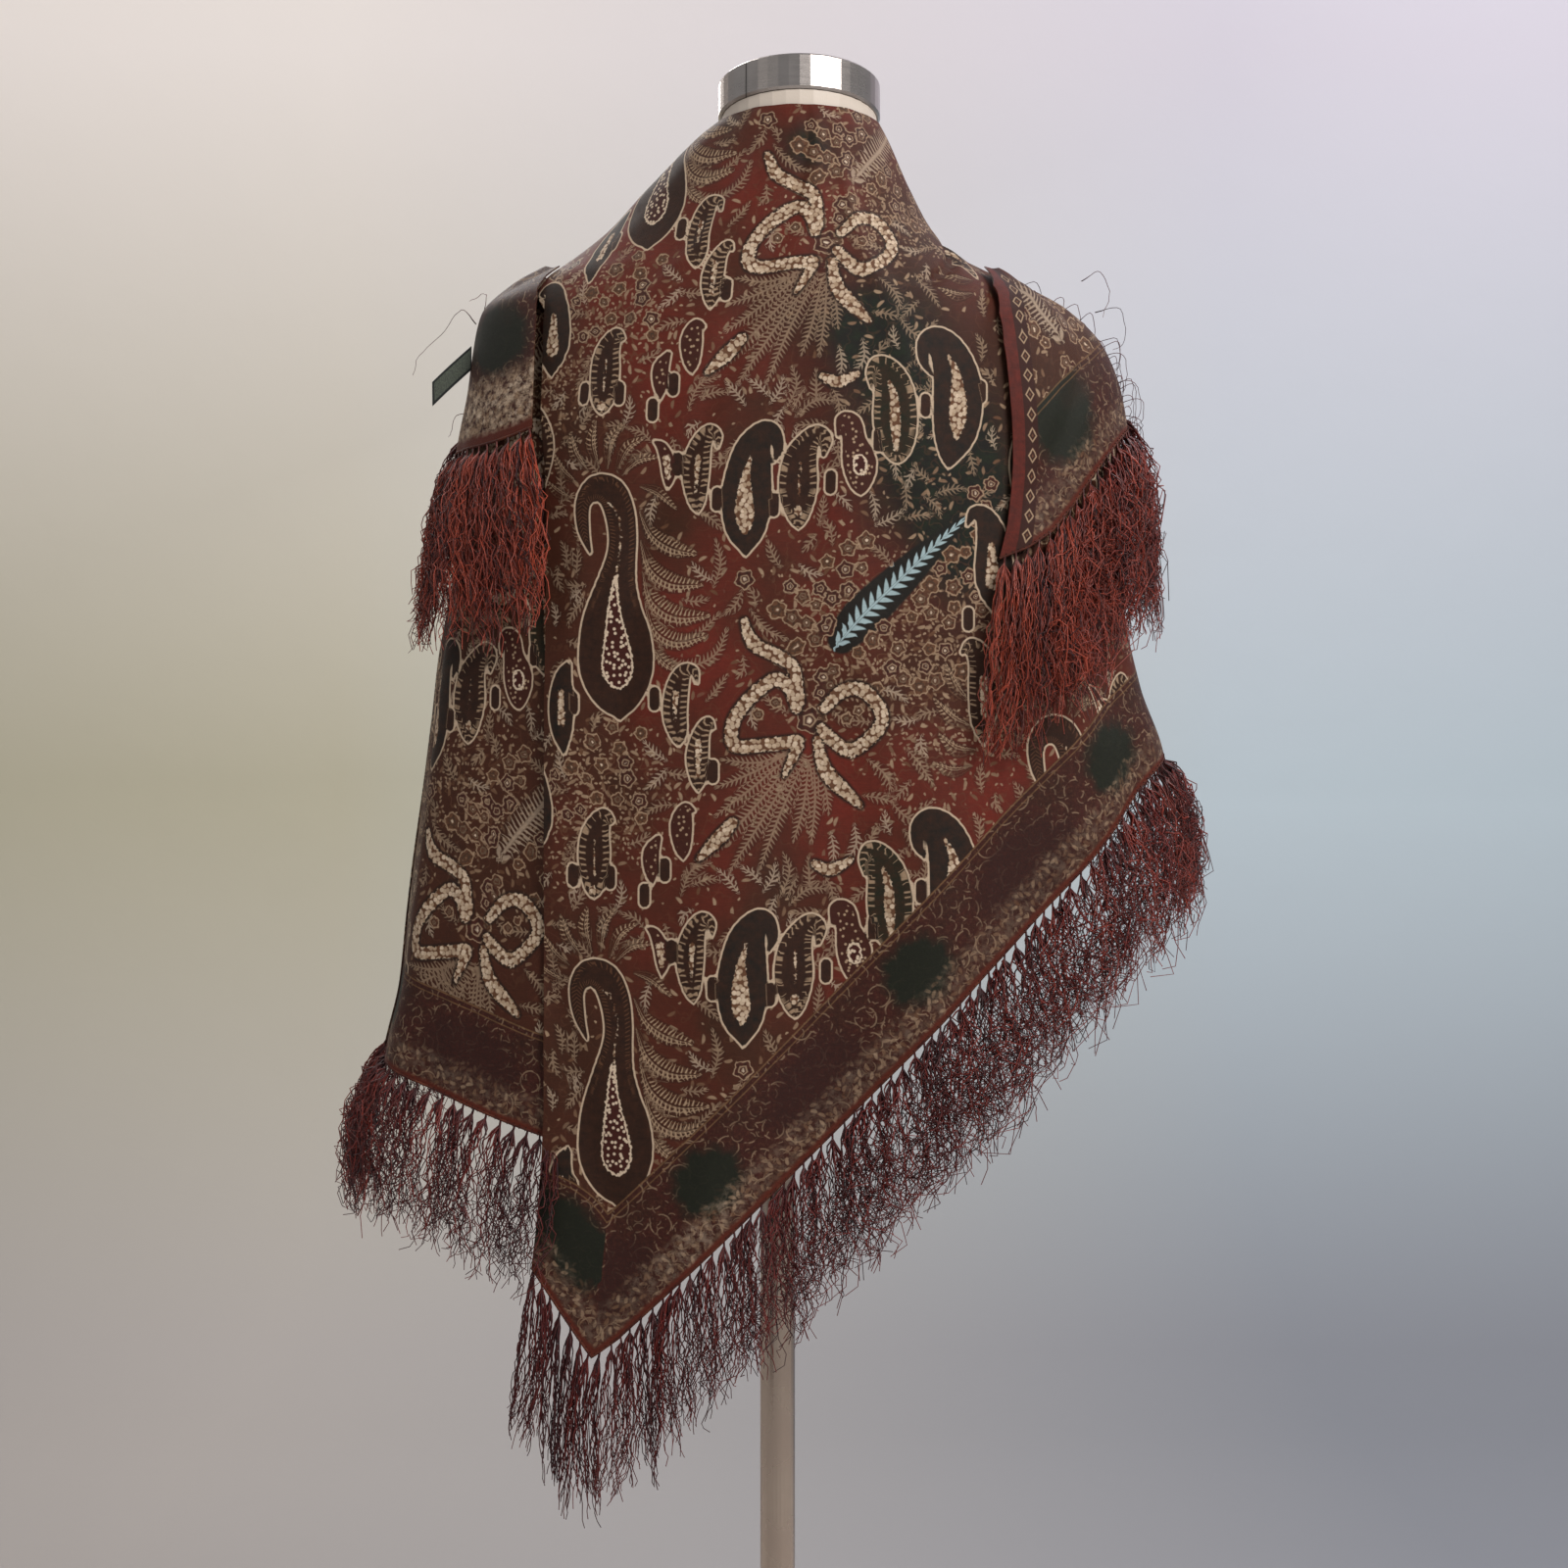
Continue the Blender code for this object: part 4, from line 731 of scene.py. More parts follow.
# %% Helpers to build node trees
class Nodes:
    """Short ways to add nodes to a tree. A value may be a number, a colour or another node's output."""

    def __init__(nodes, tree):
        nodes.tree = tree

    def add(nodes, kind, **settings):
        node = nodes.tree.nodes.new(kind)
        for name, value in settings.items():
            setattr(node, name, value)
        return node

    def feed(nodes, socket, value):
        if isinstance(value, bpy.types.NodeSocket):
            nodes.tree.links.new(value, socket)
        elif value is not None:
            socket.default_value = value

    def math(nodes, operation, a, b=None, c=None, clamp=False):
        node = nodes.add("ShaderNodeMath", operation=operation, use_clamp=clamp)
        for socket, value in zip(node.inputs, (a, b, c)):
            nodes.feed(socket, value)
        return node.outputs[0]

    def mix(nodes, factor, a, b):
        node = nodes.add("ShaderNodeMix", data_type="RGBA")
        nodes.feed(node.inputs["Factor"], factor)
        nodes.feed(node.inputs[6], a)
        nodes.feed(node.inputs[7], b)
        return node.outputs[2]

    def band(nodes, value, middle, half, soft=0.25):
        """1 within half of the middle value, 0 outside, with a soft edge."""
        away = nodes.math("ABSOLUTE", nodes.math("SUBTRACT", value, middle))
        return nodes.math("MULTIPLY_ADD", nodes.math("SUBTRACT", half, away), 0.5 / soft, 0.5, clamp=True)

    def below(nodes, value, limit, soft=0.25):
        """1 where the value is less than the limit, with a soft edge."""
        return nodes.math("MULTIPLY_ADD", nodes.math("SUBTRACT", limit, value), 0.5 / soft, 0.5, clamp=True)

    def both(nodes, *masks):
        result = masks[0]
        for mask in masks[1:]:
            result = nodes.math("MULTIPLY", result, mask)
        return result

    def noise(nodes, vector, scale, detail=2.0, roughness=0.5):
        node = nodes.add("ShaderNodeTexNoise")
        nodes.feed(node.inputs["Vector"], vector)
        nodes.feed(node.inputs["Scale"], scale)
        node.inputs["Detail"].default_value = detail
        node.inputs["Roughness"].default_value = roughness
        return node.outputs["Fac"]

    def voronoi(nodes, vector, scale, **settings):
        node = nodes.add("ShaderNodeTexVoronoi", voronoi_dimensions="2D", **settings)
        nodes.feed(node.inputs["Vector"], vector)
        nodes.feed(node.inputs["Scale"], scale)
        return node

    def split(nodes, vector):
        node = nodes.add("ShaderNodeSeparateXYZ")
        nodes.feed(node.inputs[0], vector)
        return node.outputs

    def attribute(nodes, name):
        return nodes.add("ShaderNodeAttribute", attribute_name=name)


def new_group(name, inputs, outputs):
    """An empty shader group with named inputs and outputs."""
    tree = bpy.data.node_groups.new(name, "ShaderNodeTree")
    for title, kind, default in inputs:
        socket = tree.interface.new_socket(title, in_out="INPUT", socket_type=kind)
        if default is not None:
            socket.default_value = default
    for title, kind in outputs:
        tree.interface.new_socket(title, in_out="OUTPUT", socket_type=kind)
    nodes = Nodes(tree)
    return tree, nodes, nodes.add("NodeGroupInput").outputs, nodes.add("NodeGroupOutput").inputs


def use_group(nodes, tree, **values):
    """Place a group in a material, with its own values."""
    node = nodes.add("ShaderNodeGroup", node_tree=tree)
    for name, value in values.items():
        nodes.feed(node.inputs[name.replace("_", " ").capitalize()], value)
    return node.outputs


print("node helpers", [name for name in vars(Nodes) if not name.startswith("_")])

# %% The weave, the clumps and the scattered leaves
weave, n, given, gives = new_group(
    "plain weave", [("Place", "NodeSocketVector", None), ("Pitch", "NodeSocketFloat", 0.0006)],
    [("Height", "NodeSocketFloat"), ("Slub", "NodeSocketFloat")])
turns = n.math("DIVIDE", math.tau, given["Pitch"])
place_x, place_y, _ = n.split(given["Place"])
warp = n.math("SINE", n.math("MULTIPLY", place_x, turns))
weft = n.math("SINE", n.math("MULTIPLY", place_y, turns))
n.feed(gives["Height"], n.math("MULTIPLY_ADD", n.math("MULTIPLY", warp, weft), 0.5, 0.5))
stretched = n.add("ShaderNodeVectorMath", operation="MULTIPLY")
n.feed(stretched.inputs[0], given["Place"])
stretched.inputs[1].default_value = (1.0, 14.0, 1.0)
n.feed(gives["Slub"], n.noise(stretched.outputs[0], 90.0, 3.0, 0.6))

clumps, n, given, gives = new_group(
    "knotted clumps", [("Place", "NodeSocketVector", None), ("Scale", "NodeSocketFloat", 360.0)],
    [("Mask", "NodeSocketFloat"), ("Shade", "NodeSocketFloat")])
cells = n.voronoi(given["Place"], given["Scale"])
n.feed(gives["Mask"], n.below(cells.outputs["Distance"], 0.52, 0.10))
n.feed(gives["Shade"], n.split(cells.outputs["Color"])[0])

leaves, n, given, gives = new_group(
    "scattered leaves",
    [("Place", "NodeSocketVector", None), ("Scale", "NodeSocketFloat", 170.0), ("Length", "NodeSocketFloat", 0.40),
     ("Width", "NodeSocketFloat", 0.15), ("Share", "NodeSocketFloat", 0.6)],
    [("Mask", "NodeSocketFloat"), ("Shade", "NodeSocketFloat")])
cells = n.voronoi(given["Place"], given["Scale"])
random = n.split(cells.outputs["Color"])
local = n.add("ShaderNodeVectorMath", operation="SUBTRACT")
n.feed(local.inputs[0], given["Place"])
n.feed(local.inputs[1], cells.outputs["Position"])
turned = n.add("ShaderNodeVectorRotate", rotation_type="Z_AXIS")
n.feed(turned.inputs["Vector"], local.outputs[0])
n.feed(turned.inputs["Angle"], n.math("MULTIPLY", random[0], math.tau))
along, aside, _ = n.split(turned.outputs[0])
along = n.math("DIVIDE", n.math("MULTIPLY", along, given["Scale"]), given["Length"])
bend = n.math("MULTIPLY", n.math("MULTIPLY", along, along), 0.35)
aside = n.math("SUBTRACT", n.math("DIVIDE", n.math("MULTIPLY", aside, given["Scale"]), given["Width"]), bend)
size = n.math("SQRT", n.math("ADD", n.math("MULTIPLY", along, along), n.math("MULTIPLY", aside, aside)))
n.feed(gives["Mask"], n.both(n.below(size, 1.0, 0.25), n.below(random[1], given["Share"], 0.01)))
n.feed(gives["Shade"], random[2])
print("shared groups", [tree.name for tree in (weave, clumps, leaves)])

# %% [markdown]
# ## The printed cloth's material
#
# The ground is a soft rust that drifts to brown and to a dark green, and the stretch behind the pleat is painted
# darker as painted shade. Over it lie, in this order, scattered leaves, fronds, feathers, small roses, ribbons,
# botehs, and last the border. The real cloth is thin and a little shiny, so the shader gets a low sheen and a fine
# weave in its bump.

# %% Colours
RUST = (0.128, 0.0170, 0.0090, 1)
BROWN = (0.048, 0.0165, 0.0075, 1)
DARK_BROWN = (0.021, 0.0088, 0.0048, 1)
BLACK = (0.0110, 0.0095, 0.0070, 1)
DARK_GREEN = (0.0115, 0.0155, 0.0075, 1)
MAROON = (0.050, 0.0110, 0.0075, 1)
BEIGE = (0.350, 0.235, 0.145, 1)
PALE = (0.620, 0.480, 0.345, 1)
GOLD = (0.170, 0.090, 0.040, 1)
TAN = (0.120, 0.052, 0.025, 1)
ICE = (0.360, 0.470, 0.480, 1)


def new_material(name, roughness, sheen=0.0, metallic=0.0, specular=0.5):
    """A material with a Principled shader, and a helper for its nodes."""
    material = bpy.data.materials.new(name)
    material.use_nodes = True
    shader = material.node_tree.nodes["Principled BSDF"]
    shader.inputs["Roughness"].default_value = roughness
    shader.inputs["Sheen Weight"].default_value = sheen
    shader.inputs["Sheen Roughness"].default_value = 0.45
    shader.inputs["Metallic"].default_value = metallic
    shader.inputs["Specular IOR Level"].default_value = specular
    return material, Nodes(material.node_tree), shader


def add_bump(nodes, shader, height, distance, strength=1.0):
    """Feed a height to the shader's normal."""
    bump = nodes.add("ShaderNodeBump")
    bump.inputs["Distance"].default_value = distance
    bump.inputs["Strength"].default_value = strength
    nodes.feed(bump.inputs["Height"], height)
    nodes.feed(shader.inputs["Normal"], bump.outputs[0])


print("rust ground", RUST[:3])

# %% Printed cloth
cloth, n, shader = new_material("printed_cloth", 0.60, sheen=0.02, specular=0.16)
flat = n.add("ShaderNodeUVMap", uv_map="flat_cloth").outputs[0]
zone = n.split(n.attribute("zone").outputs["Vector"])
drift = n.noise(flat, 11.0, 3.0)
speckle = n.noise(flat, 260.0, 3.0, 0.65)
mottle = n.noise(flat, 130.0, 4.0, 0.7)
colour = n.mix(n.math("MULTIPLY_ADD", drift, 3.4, -1.15, clamp=True), BROWN, RUST)
# Brown zones of the print, and painted shade over the whole stretch behind the pleat
colour = n.mix(n.math("MULTIPLY", zone[1], 0.85), colour, BROWN)
colour = n.mix(zone[0], colour, n.mix(n.below(0.52, mottle, 0.1), BLACK, DARK_GREEN))
vine = n.band(n.noise(flat, 62.0, 2.0, 0.45), 0.5, 0.011, 0.006)
vine = n.math("MULTIPLY", vine, n.math("MULTIPLY_ADD", zone[2], 0.45, 0.20))
colour = n.mix(vine, colour, TAN)

small = use_group(n, leaves, place=flat, scale=135.0, length=0.40, width=0.15,
                  share=n.math("MULTIPLY_ADD", zone[2], 0.50, 0.25))
tiny = use_group(n, leaves, place=flat, scale=310.0, length=0.40, width=0.22,
                 share=n.math("MULTIPLY_ADD", zone[2], 0.60, 0.03))
leaf_colour = n.mix(small[1], TAN, BEIGE)
colour = n.mix(n.both(tiny[0], n.math("MULTIPLY_ADD", tiny[1], 0.5, 0.4)), colour, BEIGE)
colour = n.mix(n.math("MULTIPLY", small[0], 0.9), colour, leaf_colour)


def motif(kind):
    """The field of one kind of motif: distance, length along, side and tone."""
    node = n.attribute(kind)
    near, length, side = n.split(node.outputs["Vector"])
    return near, length, side, n.attribute(kind + "_tone").outputs["Fac"]


def leaflets(length, side, pitch, lean, share):
    """Paired leaflets that point forwards from a stem."""
    away = n.math("ABSOLUTE", side)
    wave = n.math("FRACT", n.math("SUBTRACT", n.math("DIVIDE", length, pitch), n.math("MULTIPLY", away, lean)))
    round_end = n.math("SUBTRACT", 1.02, n.math("MULTIPLY", away, away))
    return n.both(n.band(wave, 0.5, n.math("MULTIPLY", round_end, share), 0.07), n.below(away, 1.0, 0.1),
                  n.below(0.10, away, 0.05))


near, length, side, tone = motif("frond")
icy = n.below(0.6, tone, 0.05)
colour = n.mix(n.both(n.below(near, 0.4, 0.8), n.math("MULTIPLY_ADD", icy, 0.7, 0.28)), colour,
               n.mix(icy, DARK_BROWN, BLACK))
leafy = n.mix(icy, n.mix(n.below(0.3, tone), BEIGE, PALE), ICE)
wide_side = n.math("MULTIPLY", side, n.math("MULTIPLY_ADD", icy, 0.62, 1.0))
pitch = n.math("MULTIPLY_ADD", icy, 3.4, 3.1)
share = n.math("MULTIPLY_ADD", icy, 0.10, 0.24)
stem = n.both(n.below(n.math("ABSOLUTE", wide_side), n.math("MULTIPLY_ADD", icy, -0.03, 0.13), 0.06),
              n.below(near, 0.0))
marks = n.math("MAXIMUM", leaflets(length, wide_side, pitch, 0.9, share), stem)
colour = n.mix(n.both(marks, n.below(near, 0.3, 0.4), n.math("MULTIPLY_ADD", icy, 0.40, 0.52)), colour, leafy)

near, length, side, tone = motif("plume")
colour = n.mix(n.both(n.below(near, 0.2, 0.5), 0.45), colour, DARK_BROWN)
for place, strength in ((-0.62, 0.85), (-0.18, 0.55), (0.24, 0.55), (0.66, 0.75)):
    scallop = n.math("MULTIPLY_ADD", n.math("ABSOLUTE", n.math("SINE", n.math("MULTIPLY", length, 1.15))), 0.13,
                     place)
    line = n.both(n.band(side, scallop if place in (-0.62, 0.66) else place, 0.07, 0.06), n.below(near, 0.0))
    colour = n.mix(n.math("MULTIPLY", line, strength), colour, BEIGE if place < 0 else TAN)
colour = n.mix(n.both(n.below(near, -0.4), leaflets(length, side, 2.9, 0.5, 0.20), n.below(14.0, length, 4.0)),
               colour, BEIGE)

near, length, side, tone = motif("rose")
petal = n.math("ADD", near, n.math("MULTIPLY_ADD", n.noise(flat, 420.0, 1.0), 1.8, -0.9))
colour = n.mix(n.below(petal, 0.9, 0.3), colour, n.mix(tone, TAN, MAROON))
colour = n.mix(n.both(n.band(petal, 0.3, 0.40, 0.3), 0.9), colour, BEIGE)
colour = n.mix(n.both(n.band(side, 0.50, 0.07, 0.06), n.below(near, 0.0)), colour, n.mix(tone, DARK_BROWN, BEIGE))
spokes = n.both(n.band(n.math("FRACT", n.math("MULTIPLY_ADD", length, 0.7958, 0.5)), 0.5, 0.16, 0.1),
                n.band(side, 0.76, 0.16, 0.05))
colour = n.mix(n.both(spokes, n.below(near, -0.5), 0.6), colour, DARK_BROWN)
colour = n.mix(n.both(n.below(side, 0.24, 0.08), n.below(near, 0.0)), colour, PALE)

knots = use_group(n, clumps, place=flat, scale=330.0)
knotted = n.mix(knots[0], TAN, n.mix(knots[1], BEIGE, PALE))
near, length, side, tone = motif("ribbon")
ragged = n.math("ADD", near, n.math("MULTIPLY_ADD", n.noise(flat, 430.0, 1.0), 3.4, -1.7))
colour = n.mix(n.below(near, 1.6, 1.0), colour, DARK_BROWN)
colour = n.mix(n.below(ragged, 0.1, 0.3), colour, knotted)

near, length, side, tone = motif("boteh")
ribbed = n.math("MAXIMUM", n.band(tone, 0.4, 0.05, 0.02), n.below(0.8, tone, 0.05))
fill = n.mix(n.below(0.1, tone, 0.03), MAROON, n.mix(n.below(0.5, tone, 0.05), DARK_BROWN, BLACK))
fill = n.mix(n.below(0.8, tone, 0.05), fill, DARK_GREEN)
fill = n.mix(n.math("MULTIPLY_ADD", mottle, 1.5, -0.40, clamp=True), fill, BROWN)
colour = n.mix(n.below(near, 0.2, 0.3), colour, fill)
ticks = n.math("FRACT",
               n.math("SUBTRACT", n.math("DIVIDE", length, 3.9), n.math("MULTIPLY", n.math("ABSOLUTE", side), 0.35)))
ticks = n.both(n.band(ticks, 0.5, 0.15, 0.07), n.band(near, -2.9, 2.1, 0.5), ribbed)
colour = n.mix(n.math("MULTIPLY", ticks, 0.85), colour, BEIGE)
fine = n.math("FRACT",
              n.math("SUBTRACT", n.math("DIVIDE", length, 2.6), n.math("MULTIPLY", n.math("ABSOLUTE", side), 1.6)))
fine = n.both(n.band(fine, 0.5, 0.13, 0.08), n.band(near, -3.4, 1.6, 0.5), n.band(tone, 0.2, 0.05, 0.02),
              n.below(70.0, length, 14.0))
colour = n.mix(n.math("MULTIPLY", fine, 0.75), colour, TAN)
spots = n.both(n.below(n.voronoi(flat, 230.0).outputs["Distance"], 0.20, 0.05), n.below(near, -2.5),
               n.below(tone, 0.1, 0.02))
colour = n.mix(spots, colour, BEIGE)
colour = n.mix(n.band(near, 0.1, 0.62, 0.25), colour, n.mix(0.55, BEIGE, PALE))
near, length, side, tone = motif("heart")
ragged = n.math("ADD", near, n.math("MULTIPLY_ADD", n.noise(flat, 480.0, 1.0), 3.0, -1.5))
ringed = n.below(tone, 0.2, 0.05)
dots = n.below(n.voronoi(flat, 260.0).outputs["Distance"], 0.26, 0.06)
colour = n.mix(n.both(n.below(ragged, 0.1, 0.3), ringed), colour, n.mix(dots, MAROON, PALE))
colour = n.mix(n.both(n.band(ragged, 0.1, 0.65, 0.3), ringed), colour, PALE)
colour = n.mix(n.both(n.below(ragged, 0.1, 0.3), n.math("SUBTRACT", 1.0, ringed)), colour, knotted)

edge = n.split(n.attribute("hem").outputs["Vector"])
away, run, plain = edge[0], edge[1], edge[2]
bloom = n.split(n.attribute("bloom").outputs["Vector"])
wobble = n.math("MULTIPLY_ADD", n.noise(flat, 150.0, 2.0), 5.0, -2.5)
soft_wobble = n.math("MULTIPLY_ADD", n.noise(flat, 60.0, 4.0, 0.65), 26.0, -13.0)
in_border = n.below(away, BORDER_WIDTH, 0.3)
strip = use_group(n, leaves, place=flat, scale=190.0, length=0.50, width=0.22, share=0.75)
grain = n.noise(flat, 420.0, 4.0, 0.75)
border = n.mix(n.math("MULTIPLY_ADD", mottle, 3.2, -1.2, clamp=True), n.mix(0.5, DARK_BROWN, MAROON), MAROON)
border = n.mix(n.math("MULTIPLY_ADD", grain, 2.2, -1.10, clamp=True), border, TAN)
petals = n.voronoi(flat, 66.0)
uneven = n.math("MULTIPLY", n.math("SUBTRACT", mottle, 0.5), 0.12)
petal_edge = n.band(n.math("ADD", petals.outputs["Distance"], uneven), 0.46, 0.030, 0.015)
broken = n.below(0.50, n.noise(flat, 150.0, 1.0), 0.03)
second = n.band(n.voronoi(flat, 120.0).outputs["Distance"], 0.44, 0.045, 0.02)
scallops = n.math("MAXIMUM", n.both(petal_edge, broken),
                  n.both(second, n.below(n.noise(flat, 170.0, 1.0), 0.46, 0.02), 0.7))
border = n.mix(n.math("MULTIPLY", scallops, 0.50), border, BEIGE)
for number, (bloom_colour, strength) in enumerate(((DARK_GREEN, 0.97), (MAROON, 0.9), (BROWN, 0.35))):
    reach = n.math("ADD", bloom[number], n.math("MULTIPLY_ADD", soft_wobble, 0.55, -3.0))
    tinted = n.mix(n.math("MULTIPLY_ADD", grain, 2.6, -1.1, clamp=True), n.mix(0.5, bloom_colour, BLACK),
                   bloom_colour)
    border = n.mix(n.math("MULTIPLY", n.below(reach, -1.0, 4.5), strength), border, tinted)
leafy_strip = n.both(n.below(away, n.math("ADD", 22.0, n.math("MULTIPLY", wobble, 2.0)), 5.0), strip[0],
                     n.below(0.40, mottle, 0.1))
border = n.mix(n.math("MULTIPLY", leafy_strip, 0.6), border, n.mix(strip[1], TAN, BEIGE))
cloudy = n.both(n.below(away, n.math("ADD", 22.0, wobble), 3.0),
                n.math("MULTIPLY_ADD", n.noise(flat, 170.0, 4.0, 0.7), 5.0, -2.1, clamp=True))
border = n.mix(n.both(cloudy, n.math("MULTIPLY_ADD", zone[2], 0.75, 0.12, clamp=True)), border,
               n.mix(strip[1], BEIGE, PALE))
border = n.mix(n.below(away, n.math("MULTIPLY_ADD", wobble, 0.4, 3.6), 1.2), border, n.mix(0.45, RUST, BROWN))
gold_lines = n.math("MAXIMUM", n.band(away, 63.3, 0.50, 0.3), n.band(away, 59.6, 0.38, 0.3))
border = n.mix(n.both(gold_lines, n.math("MULTIPLY_ADD", mottle, 1.2, 0.1, clamp=True)), border, GOLD)
colour = n.mix(in_border, colour, border)

band_x = n.math("FRACT", n.math("DIVIDE", run, 13.0))
lozenge = n.math("ADD", n.math("ABSOLUTE", n.math("SUBTRACT", plain, 14.5)),
                 n.math("MULTIPLY", n.math("ABSOLUTE", n.math("SUBTRACT", band_x, 0.5)), 9.5))
colour = n.mix(n.below(plain, 19.0, 0.3), colour, n.mix(0.5, MAROON, DARK_BROWN))
colour = n.mix(n.band(lozenge, 3.0, 0.55, 0.3), colour, BEIGE)
colour = n.mix(n.below(lozenge, 0.9, 0.3), colour, TAN)
plain_band = n.mix(n.math("MULTIPLY_ADD", mottle, 1.6, -0.3, clamp=True), MAROON, RUST)
colour = n.mix(n.below(plain, 9.0, 0.3), colour, plain_band)

inner = n.attribute("inner_side").outputs["Fac"]
colour = n.mix(n.math("MULTIPLY", inner, 0.55), colour, BROWN)
threads = use_group(n, weave, place=flat, pitch=0.0009)
worn = n.add("ShaderNodeHueSaturation")
n.feed(worn.inputs["Value"], n.math("ADD", n.math("MULTIPLY_ADD", threads[1], 0.55, 0.52),
                                    n.math("MULTIPLY", speckle, 0.45)))
n.feed(worn.inputs["Color"], colour)
n.feed(shader.inputs["Base Color"], worn.outputs[0])
n.feed(shader.inputs["Roughness"], n.math("MULTIPLY_ADD", threads[1], 0.20, 0.50))
add_bump(n, shader, n.math("MULTIPLY_ADD", threads[0], 0.5, n.math("MULTIPLY", speckle, 0.8)), 0.0004, 0.6)
print("printed cloth has", len(cloth.node_tree.nodes), "nodes")

# %% [markdown]
# ## The stretches as thin shells
#
# A sheet of cloth has two faces and an edge. Solidify could give it its wall, but then the wall would carry
# the fine grid twice. Here the outer face is fine, because it carries the print, and the inner one has a
# third of its rows and columns. The rim closes the two.

# %% Where the print lies on each stretch, and what its ground does there
# Name: the bow's middle round the cape and up, turned over or not, whole girth taken off, first blossom
PRINT_PLACES = {
    "shawl_back": (0.0210, 1.0414, 1, False, 205.0), "shawl_left": (-0.2080, 0.9030, 1, False, 20.0),
    "shawl_front_under": (-0.2080, 0.9030, 1, True, 60.0), "shawl_right_flap": (0.2100, 1.2500, -1, False, 84.0),
    "shawl_front_over": (0.5200, 1.1700, -1, False, 40.0), "shawl_left_flap": (-0.1700, 1.2300, -1, False, 52.0),
}
# The icy sprig shows once, between two heights. A distance of FAR_OFF keeps a band out of sight.
SPRIG_HEIGHTS, FAR_OFF = (0.95, 1.25), 900.0
# The dark blossom of each flap: x, height, half width, half height
FLAP_BLOSSOMS = {"shawl_left_flap": (-0.1905, 1.3040, 0.0200, 0.0240),
                 "shawl_right_flap": (0.1900, 1.2480, 0.0210, 0.0320)}
# Kind (0 green, 1 brown, which one row also uses as painted shade, 2 many small leaves), x, height, half width, half
# height, strength
ZONES = (
    (0, 0.098, 1.225, 0.052, 0.070, 1.0), (0, 0.060, 1.300, 0.040, 0.040, 0.9), (0, 0.125, 1.170, 0.030, 0.060, 0.9),
    (0, 0.020, 1.430, 0.020, 0.020, 0.8), (1, 0.085, 1.375, 0.030, 0.050, 0.8), (1, -0.125, 1.240, 0.040, 0.060, 0.6),
    (1, -0.130, 1.100, 0.035, 0.080, 0.7), (1, -0.110, 0.800, 0.050, 0.110, 0.8),
    (1, 0.110, 1.080, 0.050, 0.050, 0.7),
    # The first zone on the next line darkens the whole stretch behind the pleat: painted shade, as that stretch lies
    # in shade round the left arm.
    (1, -0.215, 0.990, 0.070, 0.260, 1.3), (1, 0.040, 0.830, 0.070, 0.040, 0.5),
    (2, -0.125, 1.310, 0.045, 0.040, 1.0),
    (2, -0.120, 0.985, 0.045, 0.040, 1.0), (2, 0.080, 1.095, 0.060, 0.050, 1.0),
    (2, -0.220, 1.010, 0.040, 0.060, 0.7),
    (2, 0.060, 1.380, 0.040, 0.035, 0.9), (2, 0.110, 1.020, 0.040, 0.030, 0.6), (2, -0.080, 0.735, 0.040, 0.040, 0.5),
    (2, -0.200, 1.260, 0.060, 0.030, 1.6), (1, 0.190, 1.270, 0.070, 0.130, 1.2),
)


def ground_and_shade_zones(x, y, z):
    """How far the ground is green, brown or full of small leaves at each point. Brown also carries painted shade over
    the stretch behind the pleat.
    """
    zones = np.zeros((len(x), 3))
    for kind, middle, height, half_width, half_height, strength in ZONES:
        amount = strength * np.exp(-((x - middle) / half_width) ** 2 - ((z - height) / half_height) ** 2)
        zones[:, kind] += np.where(y < 0.03, amount, 0.0)
    front = soft_step((y - 0.02) / 0.03)
    zones[:, 0] += front * soft_step(1.6 * np.sin(17.0 * x + 1.0) * np.sin(14.0 * z) - 0.5)
    zones[:, 1] += front * soft_step(1.6 * np.sin(13.0 * x - 1.0) * np.sin(11.0 * z + 1.0) - 0.4)
    zones[:, 2] += front * soft_step(1.5 * np.sin(23.0 * x) * np.sin(19.0 * z + 2.0) - 0.3)
    return np.clip(zones * 1.25, 0.0, 1.0)


def thin_shell(name, outer, inner, shape):
    """A closed thin wall from a fine outer grid and an inner one with a third of its rows and columns."""
    rows, columns = shape[0] - 1, shape[1] - 1
    index = np.arange(outer.shape[0]).reshape(shape)
    faces = np.stack((index[:-1, :-1], index[1:, :-1], index[1:, 1:], index[:-1, 1:]),
                     axis=-1).reshape(-1, 4).tolist()
    few = index[::3, ::3]
    number = np.arange(few.size).reshape(few.shape) + outer.shape[0]
    faces += np.stack((number[:-1, :-1], number[:-1, 1:], number[1:, 1:], number[1:, :-1]),
                      axis=-1).reshape(-1, 4).tolist()
    rims = ((index[0, :], number[0, :]), (index[:, -1], number[:, -1]),
            (index[-1, ::-1], number[-1, ::-1]), (index[::-1, 0], number[::-1, 0]))
    for fine, coarse in rims:
        for step in range(len(coarse) - 1):
            part = fine[3 * step:3 * step + 4].tolist()
            faces.append(part + [int(coarse[step + 1]), int(coarse[step])])
    mesh = bpy.data.meshes.new(name)
    points = np.concatenate((outer, inner[few.ravel()]))
    mesh.from_pydata(points.tolist(), [], faces)
    mesh.shade_smooth()
    mesh.set_sharp_from_angle(angle=math.radians(60.0))
    thing = bpy.data.objects.new(name, mesh)
    bpy.context.collection.objects.link(thing)
    return thing, few.ravel()


def keep_vectors(mesh, name, values):
    """Store three numbers a point."""
    values = np.ascontiguousarray(values, dtype=np.float32).ravel()
    mesh.attributes.new(name, "FLOAT_VECTOR", "POINT").data.foreach_set("vector", values)


def keep_numbers(mesh, name, values):
    """Store one number a point."""
    values = np.ascontiguousarray(values, dtype=np.float32)
    mesh.attributes.new(name, "FLOAT", "POINT").data.foreach_set("value", values)


print("zones of the ground", len(ZONES))

